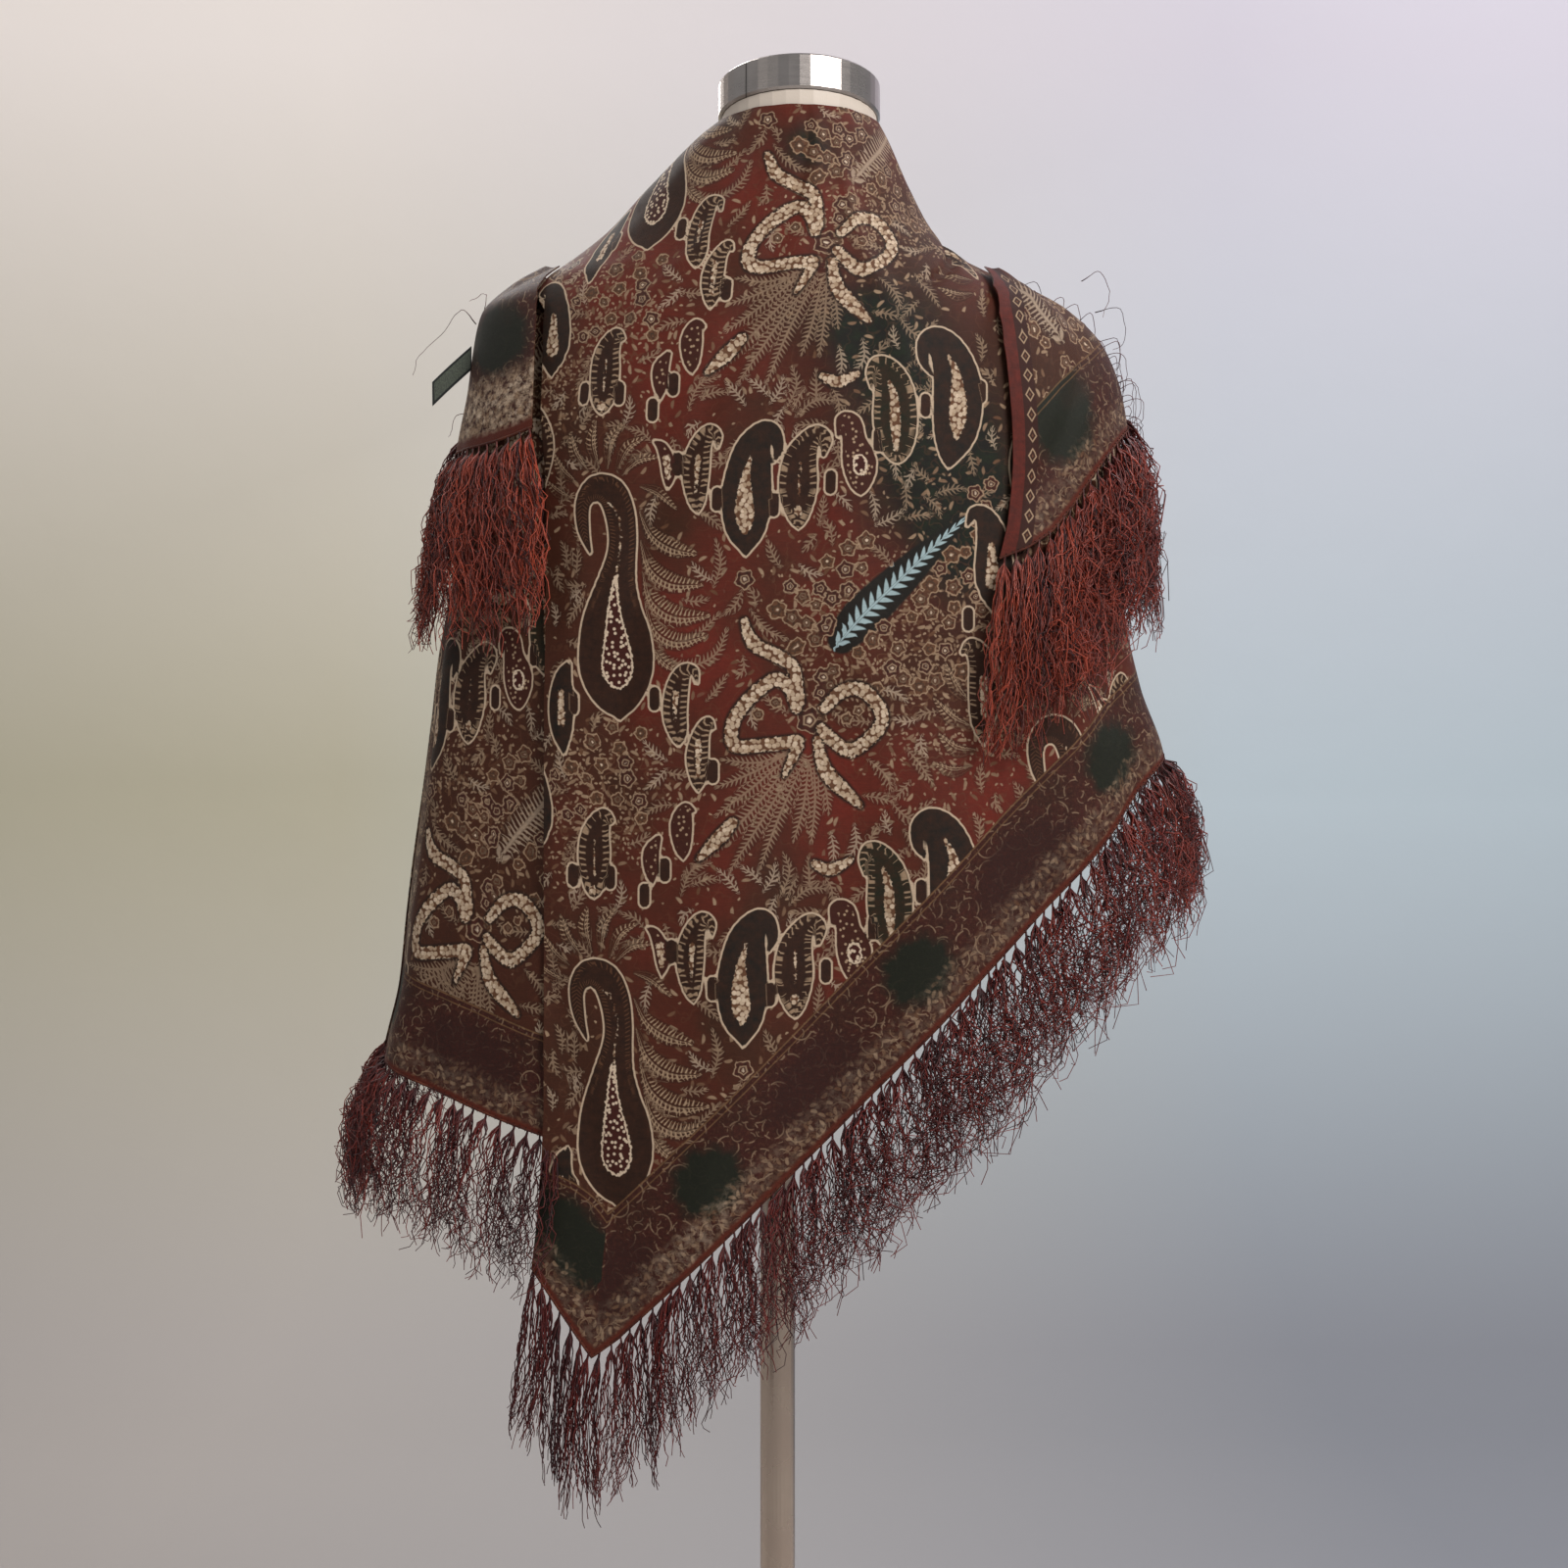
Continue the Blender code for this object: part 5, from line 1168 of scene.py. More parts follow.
# %% Make the stretches
pieces, hems, flat_sizes = {}, {}, {}
girth = float(ring_length(np.array([3.0]), np.array([1.0]))[0] - ring_length(np.array([-1.0]), np.array([1.0]))[0])
for name, (turn, height) in stretch_places.items():
    shape = turn.shape
    turn, height = turn.ravel(), height.ravel()
    lift = LIFTS[name](turn, height)
    outer = cape_points(turn, height, lift)
    inner = outer - cape_normal(turn, height) * WALL
    u, v = ring_length(turn, height), height
    bow_u, bow_v, face, whole, first = PRINT_PLACES[name]
    p = face * (u - bow_u - (girth if whole else 0.0)) * 1000.0
    q = (v - bow_v) * 1000.0
    thing, few = thin_shell(name.replace("shawl", "cloth"), outer, inner, shape)
    both = np.concatenate((np.arange(len(u)), few))
    fields = print_fields(p, q)
    seen = (name == "shawl_back") & (height > SPRIG_HEIGHTS[0]) & (height < SPRIG_HEIGHTS[1])
    if name in FLAP_BLOSSOMS:
        fields["ribbon"].near += FAR_OFF
    fields["frond"].tone = np.where((fields["frond"].tone > 0.8) & ~seen, 0.4, fields["frond"].tone)
    for kind, field in fields.items():
        keep_vectors(thing.data, kind, np.stack((field.near, field.along, field.side), axis=1)[both])
        keep_numbers(thing.data, kind + "_tone", field.tone[both])
    hem = slice(len(u) - shape[1], len(u))
    away, along = from_hem(u, v, u[hem][::3], v[hem][::3])
    if name == "shawl_right_flap":
        plain = from_hem(u, v, u.reshape(shape)[::6, 0], v.reshape(shape)[::6, 0])
    else:
        plain = (np.full(len(u), FAR_OFF), along)
    if name == "shawl_left_flap":
        away = away / 2.0
    keep_vectors(thing.data, "hem", np.stack((away, np.where(plain[0] < 30.0, plain[1], along), plain[0]),
                                             axis=1)[both])
    blooms = blossoms(along, away, first)
    if name in FLAP_BLOSSOMS:
        x, z, half_wide, half_high = FLAP_BLOSSOMS[name]
        blooms[0] = (np.hypot((outer[:, 0] - x) / half_wide, (outer[:, 2] - z) / half_high)
                     - 1.0) * 1000.0 * half_wide
        blooms[1] = blooms[1] + 30.0
    keep_vectors(thing.data, "bloom", np.stack(blooms, axis=1)[both])
    keep_vectors(thing.data, "zone", ground_and_shade_zones(*outer.T)[both])
    keep_numbers(thing.data, "inner_side", np.concatenate((np.zeros(len(u)), np.ones(len(few)))))
    layer = thing.data.uv_layers.new(name="flat_cloth")
    corners = np.zeros(len(thing.data.loops), dtype=np.int32)
    thing.data.loops.foreach_get("vertex_index", corners)
    layer.data.foreach_set("uv", np.stack((p, q), axis=1)[both][corners].astype(np.float32).ravel() * 0.001)
    thing.data.materials.append(cloth)
    grid_u, grid_v = u.reshape(shape), v.reshape(shape)
    area = float(np.abs((grid_u[1:, 1:] - grid_u[:-1, :-1]) * (grid_v[1:, :-1] - grid_v[:-1, 1:])
                        - (grid_u[1:, :-1] - grid_u[:-1, 1:]) * (grid_v[1:, 1:] - grid_v[:-1, :-1])).sum() / 2)
    flat_sizes[name] = (float(np.ptp(u)), float(np.ptp(v)), area)
    hems[name] = (turn[hem], height[hem], lift[hem])
    pieces[name] = thing
    print(name, "flat", [round(value, 3) for value in flat_sizes[name]], "faces", len(thing.data.polygons))

# %% [markdown]
# ## The fringe
#
# The real fringe is knotted: every 9 mm a cord hangs from the hem, and below its knot it opens into a dozen
# fine crimped yarns. Hair could do it, but hair is lost in the export. Geometry Nodes fit well here: a guide
# line is laid for each cord, and one tree copies it for each yarn, spreads and crimps the copies, and gives
# them a three-sided body. The sizes are the tree's inputs, so that the straight fringe at the low point and the
# curly one on the right come from the same tree.

# %% The yarn tree
def yarn_tree(material):
    """Copies of guide lines, spread and crimped, with a thin body."""
    tree = bpy.data.node_groups.new("knotted fringe", "GeometryNodeTree")
    inputs = (("Guides", "NodeSocketGeometry", None), ("Yarns", "NodeSocketInt", 10),
              ("Radius", "NodeSocketFloat", 0.00048),
              ("Spread", "NodeSocketFloat", 0.008), ("Crimp", "NodeSocketFloat", 0.004),
              ("Loops", "NodeSocketFloat", 0.006),
              ("Seed", "NodeSocketInt", 3))
    for title, kind, default in inputs:
        socket = tree.interface.new_socket(title, in_out="INPUT", socket_type=kind)
        if default is not None:
            socket.default_value = default
    tree.interface.new_socket("Fringe", in_out="OUTPUT", socket_type="NodeSocketGeometry")
    g = Nodes(tree)
    given, gives = g.add("NodeGroupInput").outputs, g.add("NodeGroupOutput").inputs

    def named(name, kind="FLOAT"):
        node = g.add("GeometryNodeInputNamedAttribute", data_type=kind)
        node.inputs["Name"].default_value = name
        return node.outputs["Attribute"]

    def random(low, high, number, seed):
        node = g.add("FunctionNodeRandomValue", data_type="FLOAT")
        node.inputs[2].default_value = low
        node.inputs[3].default_value = high
        g.feed(node.inputs["ID"], number)
        g.feed(node.inputs["Seed"], g.math("ADD", given["Seed"], seed))
        return node.outputs[1]

    def store(geometry, name, value, domain="POINT"):
        node = g.add("GeometryNodeStoreNamedAttribute", data_type="FLOAT", domain=domain)
        node.inputs["Name"].default_value = name
        g.feed(node.inputs["Geometry"], geometry)
        g.feed(node.inputs["Value"], value)
        return node.outputs[0]

    lines = g.add("GeometryNodeMeshToCurve")
    g.feed(lines.inputs["Mesh"], given["Guides"])
    copies = g.add("GeometryNodeDuplicateElements", domain="SPLINE")
    g.feed(copies.inputs["Geometry"], lines.outputs[0])
    g.feed(copies.inputs["Amount"], given["Yarns"])
    part = g.add("GeometryNodeSplineParameter").outputs["Factor"]
    bundle = g.math("MULTIPLY_ADD", g.math("SUBTRACT", 0.16, part), 9.0, 0.0, clamp=True)
    own = g.add("GeometryNodeInputIndex").outputs[0]
    strands = store(copies.outputs["Geometry"], "own", own, "CURVE")
    number = named("own")
    curl = named("curl")
    opened = g.math("MULTIPLY_ADD", g.math("SUBTRACT", part, 0.055), 2.2, 0.0, clamp=True)
    opened = g.math("SQRT", opened)

    def noise(seed, scale):
        place = g.add("ShaderNodeCombineXYZ")
        g.feed(place.inputs[0], g.math("MULTIPLY", part, scale))
        g.feed(place.inputs[1], g.math("MULTIPLY", number, 3.71))
        place.inputs[2].default_value = seed
        node = g.add("ShaderNodeTexNoise")
        g.feed(node.inputs["Vector"], place.outputs[0])
        node.inputs["Scale"].default_value = 1.0
        node.inputs["Detail"].default_value = 0.5
        return g.math("MULTIPLY_ADD", node.outputs["Fac"], 2.0, -1.0)

    crimp = g.math("MULTIPLY", g.math("MULTIPLY", given["Crimp"], opened), g.math("MULTIPLY_ADD", curl, 1.6, 0.6))
    wide = g.math("MULTIPLY", given["Spread"], opened)
    twist = g.math("MULTIPLY_ADD", part, random(12.0, 30.0, number, 11), random(0.0, 6.28, number, 12))
    loop = g.math("MULTIPLY", g.math("MULTIPLY", given["Loops"], curl),
                  g.math("MULTIPLY", opened, g.math("MULTIPLY", part, random(0.0, 1.0, number, 13))))
    aside = g.math("ADD", g.math("MULTIPLY", wide, random(-1.0, 1.0, number, 14)),
                   g.math("ADD", g.math("MULTIPLY", crimp, noise(1.0, 9.0)),
                          g.math("MULTIPLY", loop, g.math("SINE", twist))))
    out = g.math("ADD", g.math("MULTIPLY", g.math("MULTIPLY", wide, 0.7), random(0.0, 1.0, number, 15)),
                 g.math("MULTIPLY", crimp, g.math("ADD", noise(5.0, 8.0), 0.5)))
    up = g.math("ADD", g.math("MULTIPLY", g.math("MULTIPLY", part, named("length")), random(-0.06, 0.24, number, 16)),
                g.math("ADD", g.math("MULTIPLY", crimp, noise(9.0, 7.0)),
                       g.math("MULTIPLY", loop, g.math("COSINE", twist))))
    aside_vector = g.add("ShaderNodeVectorMath", operation="SCALE")
    g.feed(aside_vector.inputs[0], named("sideways", "FLOAT_VECTOR"))
    g.feed(aside_vector.inputs["Scale"], aside)
    out_vector = g.add("ShaderNodeVectorMath", operation="SCALE")
    g.feed(out_vector.inputs[0], named("outwards", "FLOAT_VECTOR"))
    g.feed(out_vector.inputs["Scale"], out)
    up_vector = g.add("ShaderNodeCombineXYZ")
    g.feed(up_vector.inputs[2], up)
    total = g.add("ShaderNodeVectorMath", operation="ADD")
    g.feed(total.inputs[0], aside_vector.outputs[0])
    g.feed(total.inputs[1], out_vector.outputs[0])
    whole = g.add("ShaderNodeVectorMath", operation="ADD")
    g.feed(whole.inputs[0], total.outputs[0])
    g.feed(whole.inputs[1], up_vector.outputs[0])
    moved = g.add("GeometryNodeSetPosition")
    g.feed(moved.inputs["Geometry"], strands)
    g.feed(moved.inputs["Offset"], whole.outputs[0])
    strands = store(moved.outputs[0], "shade", random(0.0, 1.0, number, 17), "CURVE")
    strands = store(strands, "part", part)
    ring = g.add("GeometryNodeCurvePrimitiveCircle")
    ring.inputs["Resolution"].default_value = 3
    g.feed(ring.inputs["Radius"], given["Radius"])
    thickness = g.math("ADD", g.math("MULTIPLY_ADD", part, -0.35, 1.0), g.math("MULTIPLY", bundle, 0.7))
    thick = g.add("GeometryNodeSetCurveRadius")
    g.feed(thick.inputs["Curve"], strands)
    g.feed(thick.inputs["Radius"], thickness)
    body = g.add("GeometryNodeCurveToMesh")
    g.feed(body.inputs["Curve"], thick.outputs[0])
    g.feed(body.inputs["Scale"], thickness)
    g.feed(body.inputs["Profile Curve"], ring.outputs[0])
    body.inputs["Fill Caps"].default_value = True
    real = g.add("GeometryNodeRealizeInstances")
    g.feed(real.inputs[0], body.outputs[0])
    finish = g.add("GeometryNodeSetMaterial")
    g.feed(finish.inputs["Geometry"], real.outputs[0])
    finish.inputs["Material"].default_value = material
    g.feed(gives["Fringe"], finish.outputs[0])
    return tree


def grown(name, guides, tree, **values):
    """The plain mesh that a tree makes of its guides."""
    modifier = guides.modifiers.new("grow", "NODES")
    modifier.node_group = tree
    for item in tree.interface.items_tree:
        if item.in_out == "INPUT" and item.name.lower() in values:
            modifier[item.identifier] = values[item.name.lower()]
    bpy.context.view_layer.update()
    evaluated = guides.evaluated_get(bpy.context.evaluated_depsgraph_get())
    mesh = bpy.data.meshes.new_from_object(evaluated)
    mesh.name = name
    thing = bpy.data.objects.new(name, mesh)
    bpy.context.collection.objects.link(thing)
    bpy.data.objects.remove(guides)
    print(name, "triangles", len(mesh.loops) - 2 * len(mesh.polygons))
    return thing


# %% The yarn's material
yarn, n, shader = new_material("fringe_yarn", 0.40, sheen=0.05, specular=0.4)
shade = n.attribute("shade").outputs["Fac"]
part = n.attribute("part").outputs["Fac"]
hue = n.attribute("hue").outputs["Fac"]
dark, red, orange = (0.030, 0.0055, 0.0065, 1), (0.200, 0.0230, 0.0160, 1), (0.440, 0.066, 0.028, 1)
colour = n.mix(n.math("MULTIPLY", hue, 2.0, clamp=True), dark, red)
colour = n.mix(n.math("MULTIPLY_ADD", hue, 2.0, -1.0, clamp=True), colour, orange)
colour = n.mix(n.math("MULTIPLY_ADD", shade, 1.35, -0.32, clamp=True), colour, dark)
colour = n.mix(n.math("MULTIPLY_ADD", part, -5.0, 0.75, clamp=True), colour, dark)
ply = n.math("SINE", n.math("MULTIPLY", part, 520.0))
colour = n.mix(n.math("MULTIPLY_ADD", ply, 0.12, 0.12), colour, dark)
n.feed(shader.inputs["Base Color"], colour)
n.feed(shader.inputs["Roughness"], n.math("MULTIPLY_ADD", shade, 0.2, 0.34))
print("yarn material ready")

# %% Guide lines, one for each cord of the fringe
PITCH = 0.0090
# Name, stretch, span of its hem, length, drift round the cape, yarns, spread, crimp, loops, node replaced,
# and curl and hue at the span's start and end
FRINGES = (
    ("yarns_back", "shawl_back", (0.125, 0.985), 0.102, 0.0, 15, 0.0100, 0.0080, 0.0150, "fringe_back", (0.10, 1.0),
     (0.30, 0.62)),
    ("yarns_point", "shawl_back", (0.003, 0.112), 0.104, -0.02, 18, 0.0062, 0.0062, 0.0070, "fringe_point",
     (0.15, 0.10), (0.15, 0.25)),
    ("yarns_left", "shawl_left", (0.01, 0.90), 0.098, -0.03, 16, 0.0105, 0.0085, 0.0160, "fringe_left", (1.0, 0.40),
     (0.66, 0.20)),
    ("yarns_right_flap", "shawl_right_flap", (0.02, 0.99), 0.130, -0.06, 29, 0.0105, 0.0075, 0.0180,
     "fringe_right_flap", (0.20, 1.0), (1.0, 0.60)),
    ("yarns_left_flap", "shawl_left_flap", (0.03, 0.98), 0.130, 0.10, 32, 0.0085, 0.0080, 0.0120, "fringe_left_flap",
     (0.7, 0.4), (0.85, 1.0)),
    ("yarns_front_under", "shawl_front_under", (0.005, 0.995), 0.104, 0.0, 9, 0.0100, 0.0080, 0.0145,
     "fringe_front_under", (1.0, 0.6), (0.6, 0.5)),
    ("yarns_front_over", "shawl_front_over", (0.005, 0.995), 0.104, 0.0, 8, 0.0100, 0.0075, 0.0140,
     "fringe_front_over", (0.8, 0.6), (0.5, 0.5)),
)


def guide_lines(name, hem, span, length, drift, curls, hues, strand_lift):
    """Lines that hang from a hem over the cape, with what the tree needs kept on their points."""
    turn, height, lift = hem
    line = cape_points(turn, height, lift)
    run = np.concatenate(([0.0], np.cumsum(np.linalg.norm(np.diff(line, axis=0), axis=1))))
    count = max(3, round(run[-1] * (span[1] - span[0]) / PITCH))
    wanted = np.linspace(run[-1] * span[0], run[-1] * span[1], count)
    wanted = wanted + 0.0016 * np.sin(5.3 * np.arange(count)) * np.minimum(1.0, np.arange(count)[::-1])
    part = np.linspace(0.0, 1.0, 21)
    number = np.repeat(np.arange(count), len(part))
    down = np.tile(part, count)
    root_turn, root_height, root_lift = [np.interp(wanted, run, row)[number] for row in (turn, height, lift)]
    wave = np.sin(1.7 * number) + 0.6 * np.sin(0.63 * number + 1.0)
    own_length = length * (1.0 + 0.06 * np.sin(2.9 * number))
    sway = wave * (0.010 * np.sin(math.pi * down) - 0.011 * down**2)
    place = root_turn + drift * down + sway
    level = root_height + 0.0005 - own_length * down
    wanted_lift = root_lift
    if strand_lift is not None:
        wanted_lift = root_lift + (strand_lift(place, level) - root_lift) * soft_step(down / 0.3)
    wanted_lift = wanted_lift - 0.0002 + 0.0010 * soft_step(down / 0.2)
    points = cape_points(place, level, wanted_lift, fine=1.0)
    outwards = cape_normal(place, level)
    sideways = np.stack((-outwards[:, 1], outwards[:, 0], np.zeros(len(points))), axis=1)
    mesh = bpy.data.meshes.new(name + "_guides")
    edges = [(a, a + 1) for a in range(len(points) - 1) if number[a] == number[a + 1]]
    mesh.from_pydata(points.tolist(), edges, [])
    keep_vectors(mesh, "outwards", outwards)
    keep_vectors(mesh, "sideways", sideways)
    share = number / (count - 1)
    keep_numbers(mesh, "length", own_length)
    keep_numbers(mesh, "curl", np.clip(curls[0] + (curls[1] - curls[0]) * soft_step(share * 1.6), 0, 1))
    keep_numbers(mesh, "hue", np.clip(hues[0] + (hues[1] - hues[0]) * share + 0.12 * np.sin(1.3 * number), 0, 1))
    guides = bpy.data.objects.new(name + "_guides", mesh)
    bpy.context.collection.objects.link(guides)
    return guides


def front_strand_lift(turn, height):
    """The first end's fringe hangs over the other end on the right, and under it on the left."""
    return np.where(turn < 1.60, 2.0 * LAYER, 0.4 * LAYER)


fringe_tree = yarn_tree(yarn)
fringes = []
for name, stretch, span, length, drift, yarns, spread, crimp, loops, node, curls, hues in FRINGES:
    strand_lift = front_strand_lift if stretch == "shawl_front_under" else None
    guides = guide_lines(name, hems[stretch], span, length, drift, curls, hues, strand_lift)
    made = grown(name, guides, fringe_tree, yarns=yarns, spread=spread, crimp=crimp, loops=loops)
    fringes.append((made, stretch, node))

# %% [markdown]
# ## The rolled hem and its stitches
#
# The fringed hems are rolled by hand: the edge is turned into a thin round roll and whipped down every few
# millimetres. A roll follows the hem and stitches repeat along it, so one small tree makes both.

# %% Rolled hem
ROLL_RADIUS, STITCH_GAP = 0.0010, 0.0045


def hem_tree(material):
    """A round roll along a line, with slanting stitches over it."""
    tree = bpy.data.node_groups.new("rolled hem", "GeometryNodeTree")
    for title, kind, default in (("Line", "NodeSocketGeometry", None), ("Radius", "NodeSocketFloat", ROLL_RADIUS),
                                 ("Gap", "NodeSocketFloat", STITCH_GAP)):
        socket = tree.interface.new_socket(title, in_out="INPUT", socket_type=kind)
        if default is not None:
            socket.default_value = default
    tree.interface.new_socket("Hem", in_out="OUTPUT", socket_type="NodeSocketGeometry")
    g = Nodes(tree)
    given, gives = g.add("NodeGroupInput").outputs, g.add("NodeGroupOutput").inputs
    line = g.add("GeometryNodeMeshToCurve")
    g.feed(line.inputs["Mesh"], given["Line"])
    ring = g.add("GeometryNodeCurvePrimitiveCircle")
    ring.inputs["Resolution"].default_value = 6
    g.feed(ring.inputs["Radius"], given["Radius"])
    roll = g.add("GeometryNodeCurveToMesh")
    g.feed(roll.inputs["Curve"], line.outputs[0])
    g.feed(roll.inputs["Profile Curve"], ring.outputs[0])
    roll.inputs["Fill Caps"].default_value = True
    spots = g.add("GeometryNodeCurveToPoints", mode="LENGTH")
    g.feed(spots.inputs["Curve"], line.outputs[0])
    g.feed(spots.inputs["Length"], given["Gap"])
    stitch = g.add("GeometryNodeMeshCylinder")
    stitch.inputs["Vertices"].default_value = 5
    g.feed(stitch.inputs["Radius"], g.math("MULTIPLY", given["Radius"], 0.35))
    g.feed(stitch.inputs["Depth"], g.math("MULTIPLY", given["Radius"], 3.2))
    placed = g.add("GeometryNodeInstanceOnPoints")
    g.feed(placed.inputs["Points"], spots.outputs["Points"])
    g.feed(placed.inputs["Instance"], stitch.outputs[0])
    placed.inputs["Rotation"].default_value = (0.45, 0.35, 0.0)
    real = g.add("GeometryNodeRealizeInstances")
    g.feed(real.inputs[0], placed.outputs[0])
    mark = g.add("GeometryNodeStoreNamedAttribute", data_type="FLOAT", domain="POINT")
    mark.inputs["Name"].default_value = "stitch"
    g.feed(mark.inputs["Geometry"], real.outputs[0])
    mark.inputs["Value"].default_value = 1.0
    both_parts = g.add("GeometryNodeJoinGeometry")
    g.tree.links.new(roll.outputs[0], both_parts.inputs[0])
    g.tree.links.new(mark.outputs[0], both_parts.inputs[0])
    finish = g.add("GeometryNodeSetMaterial")
    g.feed(finish.inputs["Geometry"], both_parts.outputs[0])
    finish.inputs["Material"].default_value = material
    g.feed(gives["Hem"], finish.outputs[0])
    return tree


roll_cloth, n, shader = new_material("rolled_hem", 0.65, sheen=0.02, specular=0.16)
spot = n.add("ShaderNodeTexCoord").outputs["Object"]
patchy = n.noise(spot, 90.0, 3.0, 0.6)
colour = n.mix(n.math("MULTIPLY_ADD", patchy, 3.0, -1.1, clamp=True), MAROON, n.mix(0.5, RUST, TAN))
n.feed(shader.inputs["Base Color"], n.mix(n.attribute("stitch").outputs["Fac"], colour, DARK_BROWN))
add_bump(n, shader, n.noise(spot, 900.0, 2.0), 0.0003, 0.6)
rolls = []
rolling = hem_tree(roll_cloth)
for name, (turn, height, lift) in hems.items():
    line = cape_points(turn, height, lift) - cape_normal(turn, height) * 0.5 * WALL
    mesh = bpy.data.meshes.new(name + "_hem_line")
    mesh.from_pydata(line.tolist(), [(a, a + 1) for a in range(len(line) - 1)], [])
    guide = bpy.data.objects.new(name + "_hem_line", mesh)
    bpy.context.collection.objects.link(guide)
    rolls.append((grown(name.replace("shawl", "hem"), guide, rolling, radius=ROLL_RADIUS, gap=STITCH_GAP), name))

# %% [markdown]
# ## Loose threads
#
# Old fringe sheds: a few single yarns stand off the shoulders and the arms. Each is one guide line, put
# through the same tree as the fringe, with one yarn and no spread.

# %% Loose threads, each a row of points across and up
THREADS = (
    ((-0.2128, 1.3243), (-0.2218, 1.3326), (-0.2356, 1.3215), (-0.2508, 1.3050), (-0.2556, 1.2864)),
    ((-0.2163, 1.2601), (-0.2246, 1.2588), (-0.2301, 1.2553), (-0.2322, 1.2450)),
    ((-0.2398, 1.1242), (-0.2494, 1.1104), (-0.2611, 1.0932)),
    ((-0.2315, 1.1808), (-0.2418, 1.1711), (-0.2411, 1.1504), (-0.2329, 1.1380)),
    ((0.2143, 1.3547), (0.2267, 1.3588), (0.2350, 1.3450), (0.2294, 1.3298)),
    ((0.2239, 1.3326), (0.2405, 1.3326), (0.2460, 1.3146), (0.2363, 1.3064)),
    ((0.2336, 1.2815), (0.2501, 1.2815), (0.2570, 1.2622), (0.2460, 1.2512)),
    ((-0.2066, 1.3326), (-0.2039, 1.3422), (-0.2108, 1.3464), (-0.2177, 1.3409)),
)
thread_points, thread_edges, frizz = [], [], []
for number in range(26):
    z = 1.352 - 0.0042 * number
    x = float(cape_surface(np.array([1.0]), np.array([z]))[0, 0]) + 0.004
    reach, fall, bend = rng.uniform(0.006, 0.017), rng.uniform(0.006, 0.024), rng.uniform(-0.006, 0.009)
    frizz.append(((x, z), (x + reach, z + bend), (x + reach * 1.2, z - fall),
                  (x + reach * rng.uniform(0.2, 1.1), z - fall * 1.3)))
for line in THREADS + tuple(frizz):
    line = curve_through([(x * 1000.0, z * 1000.0, 1.0) for x, z in line], 5)
    start = len(thread_points)
    for step, (x, z, _) in enumerate(line):
        thread_points.append((x / 1000.0, 0.004 - 0.010 * math.sin(0.4 * step) - 0.002, z / 1000.0))
    thread_edges += [(a, a + 1) for a in range(start, len(thread_points) - 1)]
mesh = bpy.data.meshes.new("thread_guides")
mesh.from_pydata(thread_points, thread_edges, [])
count = len(thread_points)
keep_vectors(mesh, "outwards", np.tile((0.0, -1.0, 0.0), (count, 1)))
keep_vectors(mesh, "sideways", np.tile((1.0, 0.0, 0.0), (count, 1)))
for name, value in (("length", 0.0), ("curl", 0.3), ("hue", 0.35)):
    keep_numbers(mesh, name, np.full(count, value))
guide = bpy.data.objects.new("thread_guides", mesh)
bpy.context.collection.objects.link(guide)
loose = grown("loose_threads", guide, fringe_tree, yarns=1, radius=0.0003, spread=0.0, crimp=0.0015, loops=0.0)

# %% [markdown]
# ## The label
#
# A small woven label sticks out at the left shoulder. It is a folded tape, dark at its edges with a pale
# blank face. It is a thin shell of its own with a slight curl, and nothing is written on it.

# %% Label
LABEL_START, LABEL_REACH, LABEL_DROP = (-0.2130, -0.0200, 1.2965), 0.0270, 0.0255
LABEL_WIDTH, LABEL_LENGTH = 0.0165, 0.0372
tape, n, shader = new_material("label_cloth", 0.70, sheen=0.1)
spot = n.add("ShaderNodeUVMap", uv_map="tape").outputs[0]
threads = use_group(n, weave, place=spot, pitch=0.0008)
tape_x, tape_y, _ = n.split(spot)
face = n.both(n.band(tape_y, 0.0, 0.0062, 0.0003), n.band(tape_x, 0.0175, 0.0165, 0.0003))
colour = n.mix(n.both(face, n.math("MULTIPLY_ADD", n.noise(spot, 900.0, 3.0, 0.7), 2.2, -0.5, clamp=True)),
               (0.008, 0.010, 0.009, 1), (0.150, 0.170, 0.125, 1))
colour = n.mix(n.math("MULTIPLY", threads[0], 0.35), colour, (0.010, 0.013, 0.011, 1))
n.feed(shader.inputs["Base Color"], colour)
add_bump(n, shader, threads[0], 0.0003, 0.6)
columns, rows = 24, 12
across = np.tile(np.linspace(0, 1, columns + 1), rows + 1)
up = np.repeat(np.linspace(0.5, -0.5, rows + 1), columns + 1)
curl = 0.0022 * np.sin(2.4 * across) + 0.0010 * up * across
label_points = np.stack((LABEL_START[0] - LABEL_REACH * across, LABEL_START[1] - curl,
                         LABEL_START[2] - LABEL_DROP * across + LABEL_WIDTH * up), axis=1)
label, few = thin_shell("label_tape", label_points, label_points + np.array((0.0, 0.0009, 0.0)),
                        (rows + 1, columns + 1))
both = np.concatenate((np.arange(len(across)), few))
layer = label.data.uv_layers.new(name="tape")
corners = np.zeros(len(label.data.loops), dtype=np.int32)
label.data.loops.foreach_get("vertex_index", corners)
layer.data.foreach_set("uv",
                       np.stack((across * 0.036, up * LABEL_WIDTH), axis=1)[both][corners].astype(np.float32).ravel())
label.data.materials.append(tape)
print("label", len(label.data.polygons), "faces")

# %% [markdown]
# ## The stand
#
# The dress form, its neck cap, its pole and its foot keep their solid shapes and get real finishes: a cream
# shell with a faint grain, and bright metal with fine marks. The cap is a bent band, so it has a seam.

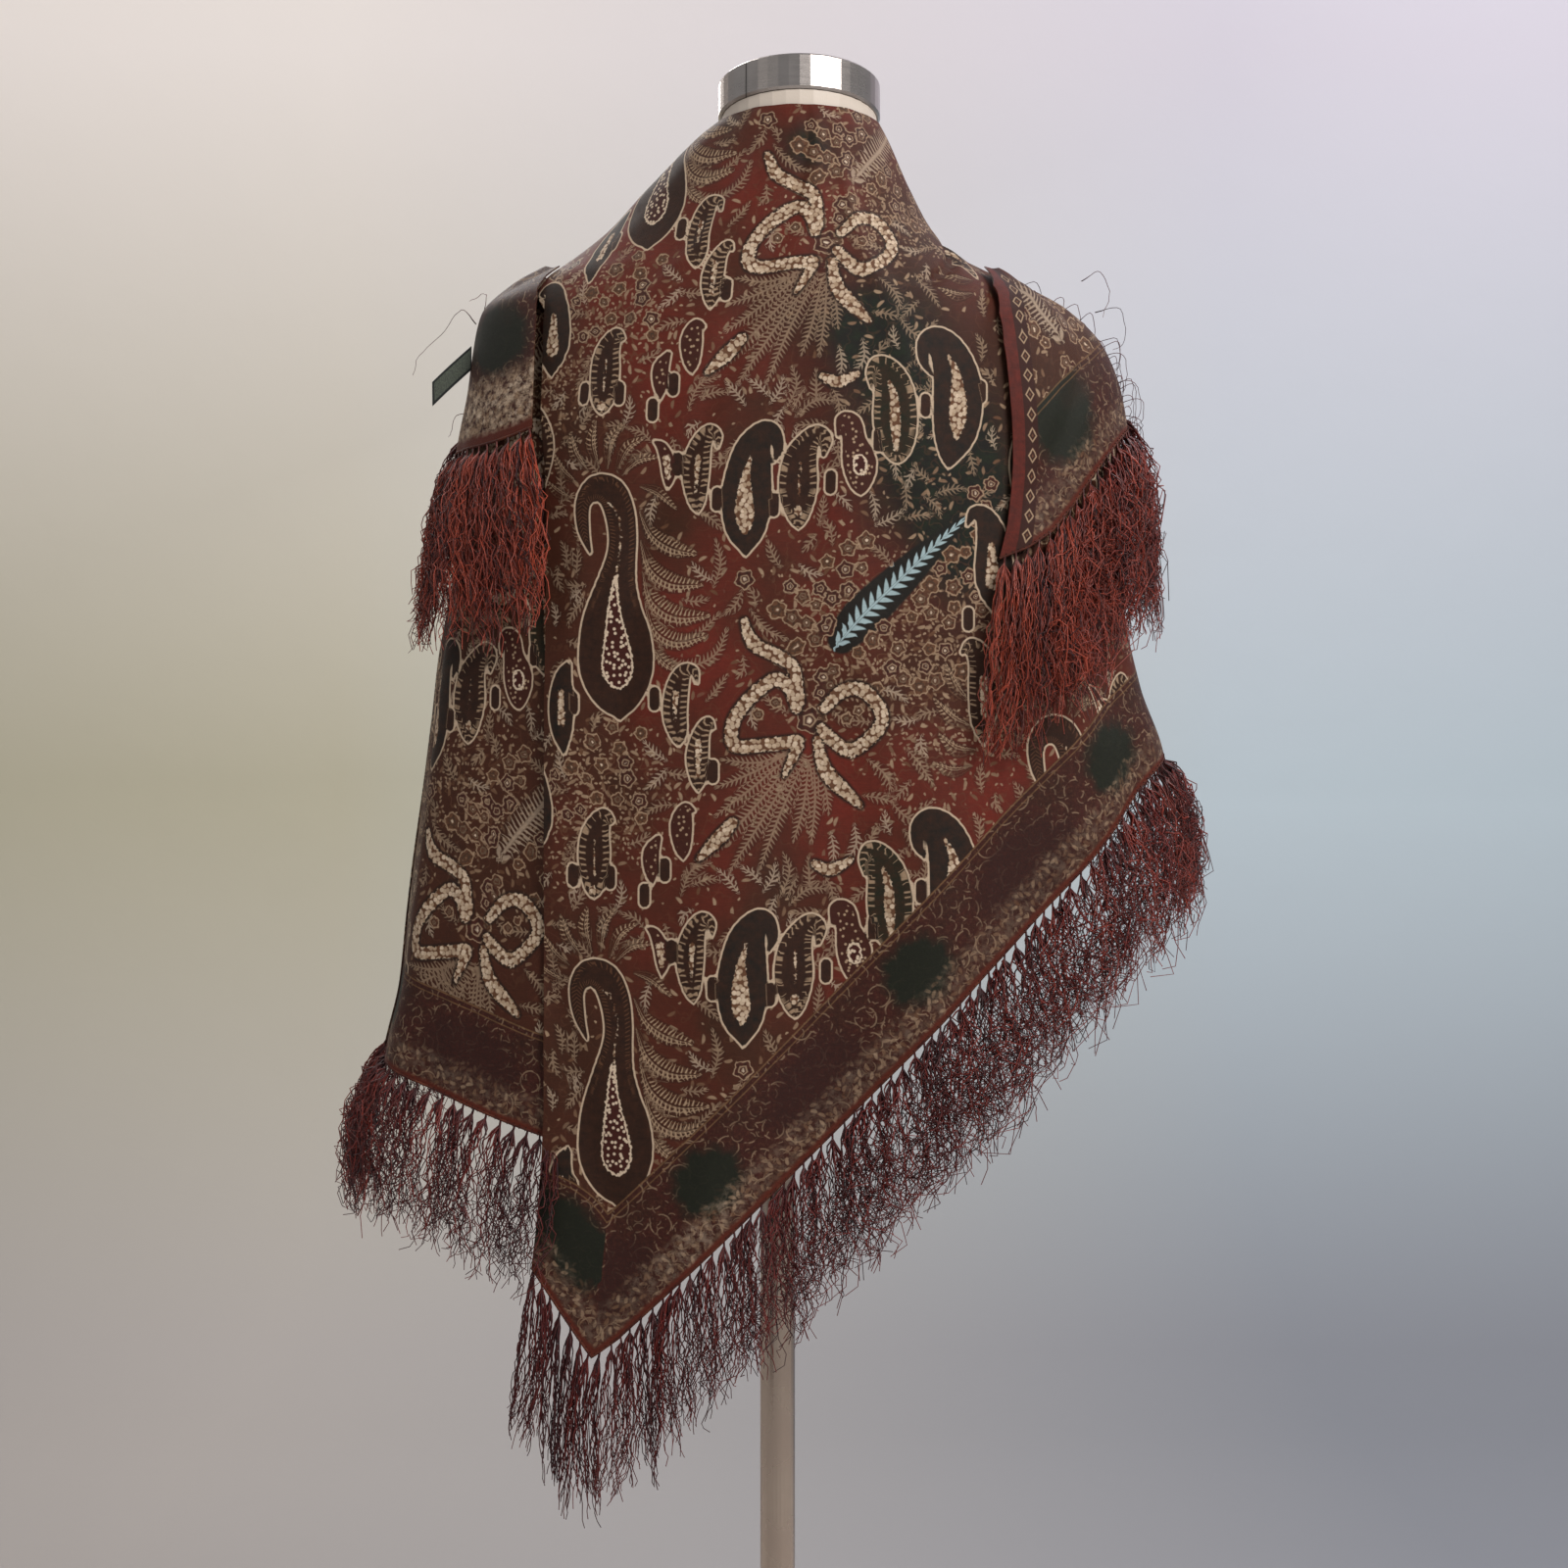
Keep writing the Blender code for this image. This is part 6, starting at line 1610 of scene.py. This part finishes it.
# %% Materials of the stand
shell, n, shader = new_material("form_cream", 0.48)
spot = n.add("ShaderNodeTexCoord").outputs["Object"]
grain = n.noise(spot, 900.0, 2.0)
stain = n.noise(spot, 14.0, 3.0)
n.feed(shader.inputs["Base Color"], n.mix(n.math("MULTIPLY_ADD", stain, 1.4, -0.4, clamp=True), (0.66, 0.55, 0.45, 1),
                                          (0.74, 0.66, 0.57, 1)))
n.feed(shader.inputs["Roughness"], n.math("MULTIPLY_ADD", grain, 0.2, 0.38))
add_bump(n, shader, grain, 0.0002, 0.4)

metal, n, shader = new_material("polished_metal", 0.14, metallic=1.0)
spot = n.add("ShaderNodeTexCoord").outputs["Object"]
x, y, z = n.split(spot)
brushed = n.add("ShaderNodeMapping")
n.feed(brushed.inputs["Vector"], spot)
brushed.inputs["Scale"].default_value = (30.0, 30.0, 900.0)
marks = n.noise(brushed.outputs[0], 1.0, 3.0, 0.6)
smear = n.noise(spot, 35.0, 3.0)
seam = n.both(n.band(x, -0.0215, 0.0005, 0.0002), n.below(y, 0.0, 0.001), n.below(1.44, z, 0.001))
colour = n.mix(n.math("MULTIPLY_ADD", smear, 0.9, -0.2, clamp=True), (0.42, 0.375, 0.345, 1), (0.56, 0.51, 0.48, 1))
n.feed(shader.inputs["Base Color"], n.mix(n.math("MULTIPLY", seam, 0.75), colour, (0.05, 0.045, 0.04, 1)))
n.feed(shader.inputs["Roughness"], n.math("ADD", n.math("MULTIPLY_ADD", marks, 0.12, 0.16),
                                          n.math("MULTIPLY", smear, 0.14)))
add_bump(n, shader, marks, 0.0001, 0.25)
dull, n, shader = new_material("pole_metal", 0.30, metallic=1.0)
spot = n.add("ShaderNodeTexCoord").outputs["Object"]
smear = n.noise(spot, 24.0, 3.0)
n.feed(shader.inputs["Base Color"], n.mix(n.math("MULTIPLY_ADD", smear, 1.2, -0.3, clamp=True),
                                          (0.39, 0.31, 0.255, 1), (0.50, 0.41, 0.335, 1)))
n.feed(shader.inputs["Roughness"], n.math("MULTIPLY_ADD", smear, 0.2, 0.18))
for node, material in (("form_torso", shell), ("neck_cap", metal), ("pole", dull), ("base", dull)):
    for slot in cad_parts[node].material_slots:
        slot.material = material
print("stand finished")

# %% [markdown]
# ## Hold the pieces to the frame
#
# Every new piece rides on the fixed frame, and the solids that the stretches, the fringes and the label
# stand for are hidden.

# %% Rides and replacements
for name, thing in pieces.items():
    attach(thing, "root")
    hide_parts(name)
for thing, stretch, node in fringes:
    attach(thing, "root")
    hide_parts(node)
for thing, stretch in rolls:
    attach(thing, "root")
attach(loose, "root")
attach(label, "root")
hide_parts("label")
for name, thing in pieces.items():
    width, length, area = flat_sizes[name]
    own = [fringe for fringe, stretch, node in fringes if stretch == name]
    own += [roll for roll, stretch in rolls if stretch == name]
print("held", len(pieces), "stretches", len(fringes), "fringes", len(rolls), "hems")

# %% [markdown]
# ## The studio
#
# The object stands on a pale floor before a pale wall, whose colour is painted darker towards the bottom as painted
# shade. One curved sweep is both, so that no edge shows, and the wall is far enough back for a camera to go round the
# object. Large soft lights from the upper right and from the left give the picture's soft shade, two more wash the
# wall, and one lights the front.

# %% Floor, wall and lights
FLOOR_FRONT, FLOOR_BACK, CURVE_RADIUS, WALL_TOP, HALF_WIDTH = -4.5, 1.95, 1.0, 6.0, 5.0
profile = [(FLOOR_FRONT, 0.0), (FLOOR_BACK, 0.0)]
profile += [(FLOOR_BACK + CURVE_RADIUS * math.sin(a), CURVE_RADIUS * (1.0 - math.cos(a)))
            for a in np.linspace(0.1, 1.57, 15)]
profile.append((FLOOR_BACK + CURVE_RADIUS, WALL_TOP))
sweep_points = [(side, y, z - 0.0005) for y, z in profile for side in (-HALF_WIDTH, HALF_WIDTH)]
sweep_faces = [(2 * a, 2 * a + 1, 2 * a + 3, 2 * a + 2) for a in range(len(profile) - 1)]
sweep_mesh = bpy.data.meshes.new("studio_sweep")
sweep_mesh.from_pydata(sweep_points, [], sweep_faces)
sweep_mesh.shade_smooth()
sweep = bpy.data.objects.new("studio_sweep", sweep_mesh)
bpy.context.collection.objects.link(sweep)
wall, n, shader = new_material("pale_wall", 0.9)
spot = n.add("ShaderNodeTexCoord").outputs["Object"]
wall_x, wall_y, wall_z = n.split(spot)
# The wall's colour is painted lighter at the top and darker towards the bottom and the lower right, which is painted
# shade of light falling off down the wall. It is warmer on the left and cooler on the right, and the floor near the
# object is an even pale colour.
aside = n.math("MULTIPLY_ADD", wall_x, 0.57, 0.5, clamp=True)
top = n.mix(aside, (0.76, 0.70, 0.665, 1), (0.545, 0.505, 0.555, 1))
middle = n.mix(aside, (0.50, 0.465, 0.35, 1), (0.51, 0.58, 0.62, 1))
low = n.mix(aside, (0.41, 0.375, 0.355, 1), (0.225, 0.23, 0.255, 1))
wall_colour_and_painted_shade = n.mix(n.math("MULTIPLY_ADD", wall_z, 0.69, -0.70, clamp=True), middle, top)
wall_colour_and_painted_shade = n.mix(n.math("MULTIPLY_ADD", wall_z, -1.1, 1.05, clamp=True), wall_colour_and_painted_shade, low)
wall_colour_and_painted_shade = n.mix(n.math("MULTIPLY_ADD", wall_y, -2.0, 2.4, clamp=True), wall_colour_and_painted_shade, (0.64, 0.615, 0.595, 1))
n.feed(shader.inputs["Base Color"], wall_colour_and_painted_shade)
add_bump(n, shader, n.noise(spot, 7.0, 4.0, 0.5), 0.004, 0.5)
sweep_mesh.materials.append(wall)


def soft_light(name, place, target, size, power, colour):
    """A large area light that looks at a point."""
    light = bpy.data.lights.new(name, "AREA")
    light.shape = "DISK"
    light.size = size
    light.energy = power
    light.color = colour
    thing = bpy.data.objects.new(name, light)
    thing.location = place
    thing.visible_camera = False
    thing.rotation_euler = (Vector(target) - Vector(place)).to_track_quat("-Z", "Y").to_euler()
    bpy.context.collection.objects.link(thing)


soft_light("key", (1.5, -2.0, 2.7), (0.0, 0.0, 1.1), 1.5, 66.0, (1.0, 0.98, 0.97))
soft_light("fill", (-2.0, -1.8, 1.9), (0.0, 0.0, 1.0), 1.6, 5.0, (1.0, 0.94, 0.88))
soft_light("wall_wash_right", (1.8, 0.9, 3.6), (0.9, 2.95, 1.7), 1.6, 57.0, (0.94, 0.96, 1.0))
soft_light("wall_wash_left", (-1.8, 0.9, 3.6), (-0.9, 2.95, 1.7), 1.6, 28.0, (1.0, 0.96, 0.90))
soft_light("front", (-0.7, 2.2, 2.7), (0.0, 0.0, 1.0), 1.2, 20.0, (1.0, 0.98, 0.96))
world = bpy.data.worlds.new("studio")
world.use_nodes = True
world.node_tree.nodes["Background"].inputs[0].default_value = (0.80, 0.82, 0.86, 1)
world.node_tree.nodes["Background"].inputs[1].default_value = 0.35
bpy.context.scene.world = world
bpy.context.scene.view_settings.view_transform = "Standard"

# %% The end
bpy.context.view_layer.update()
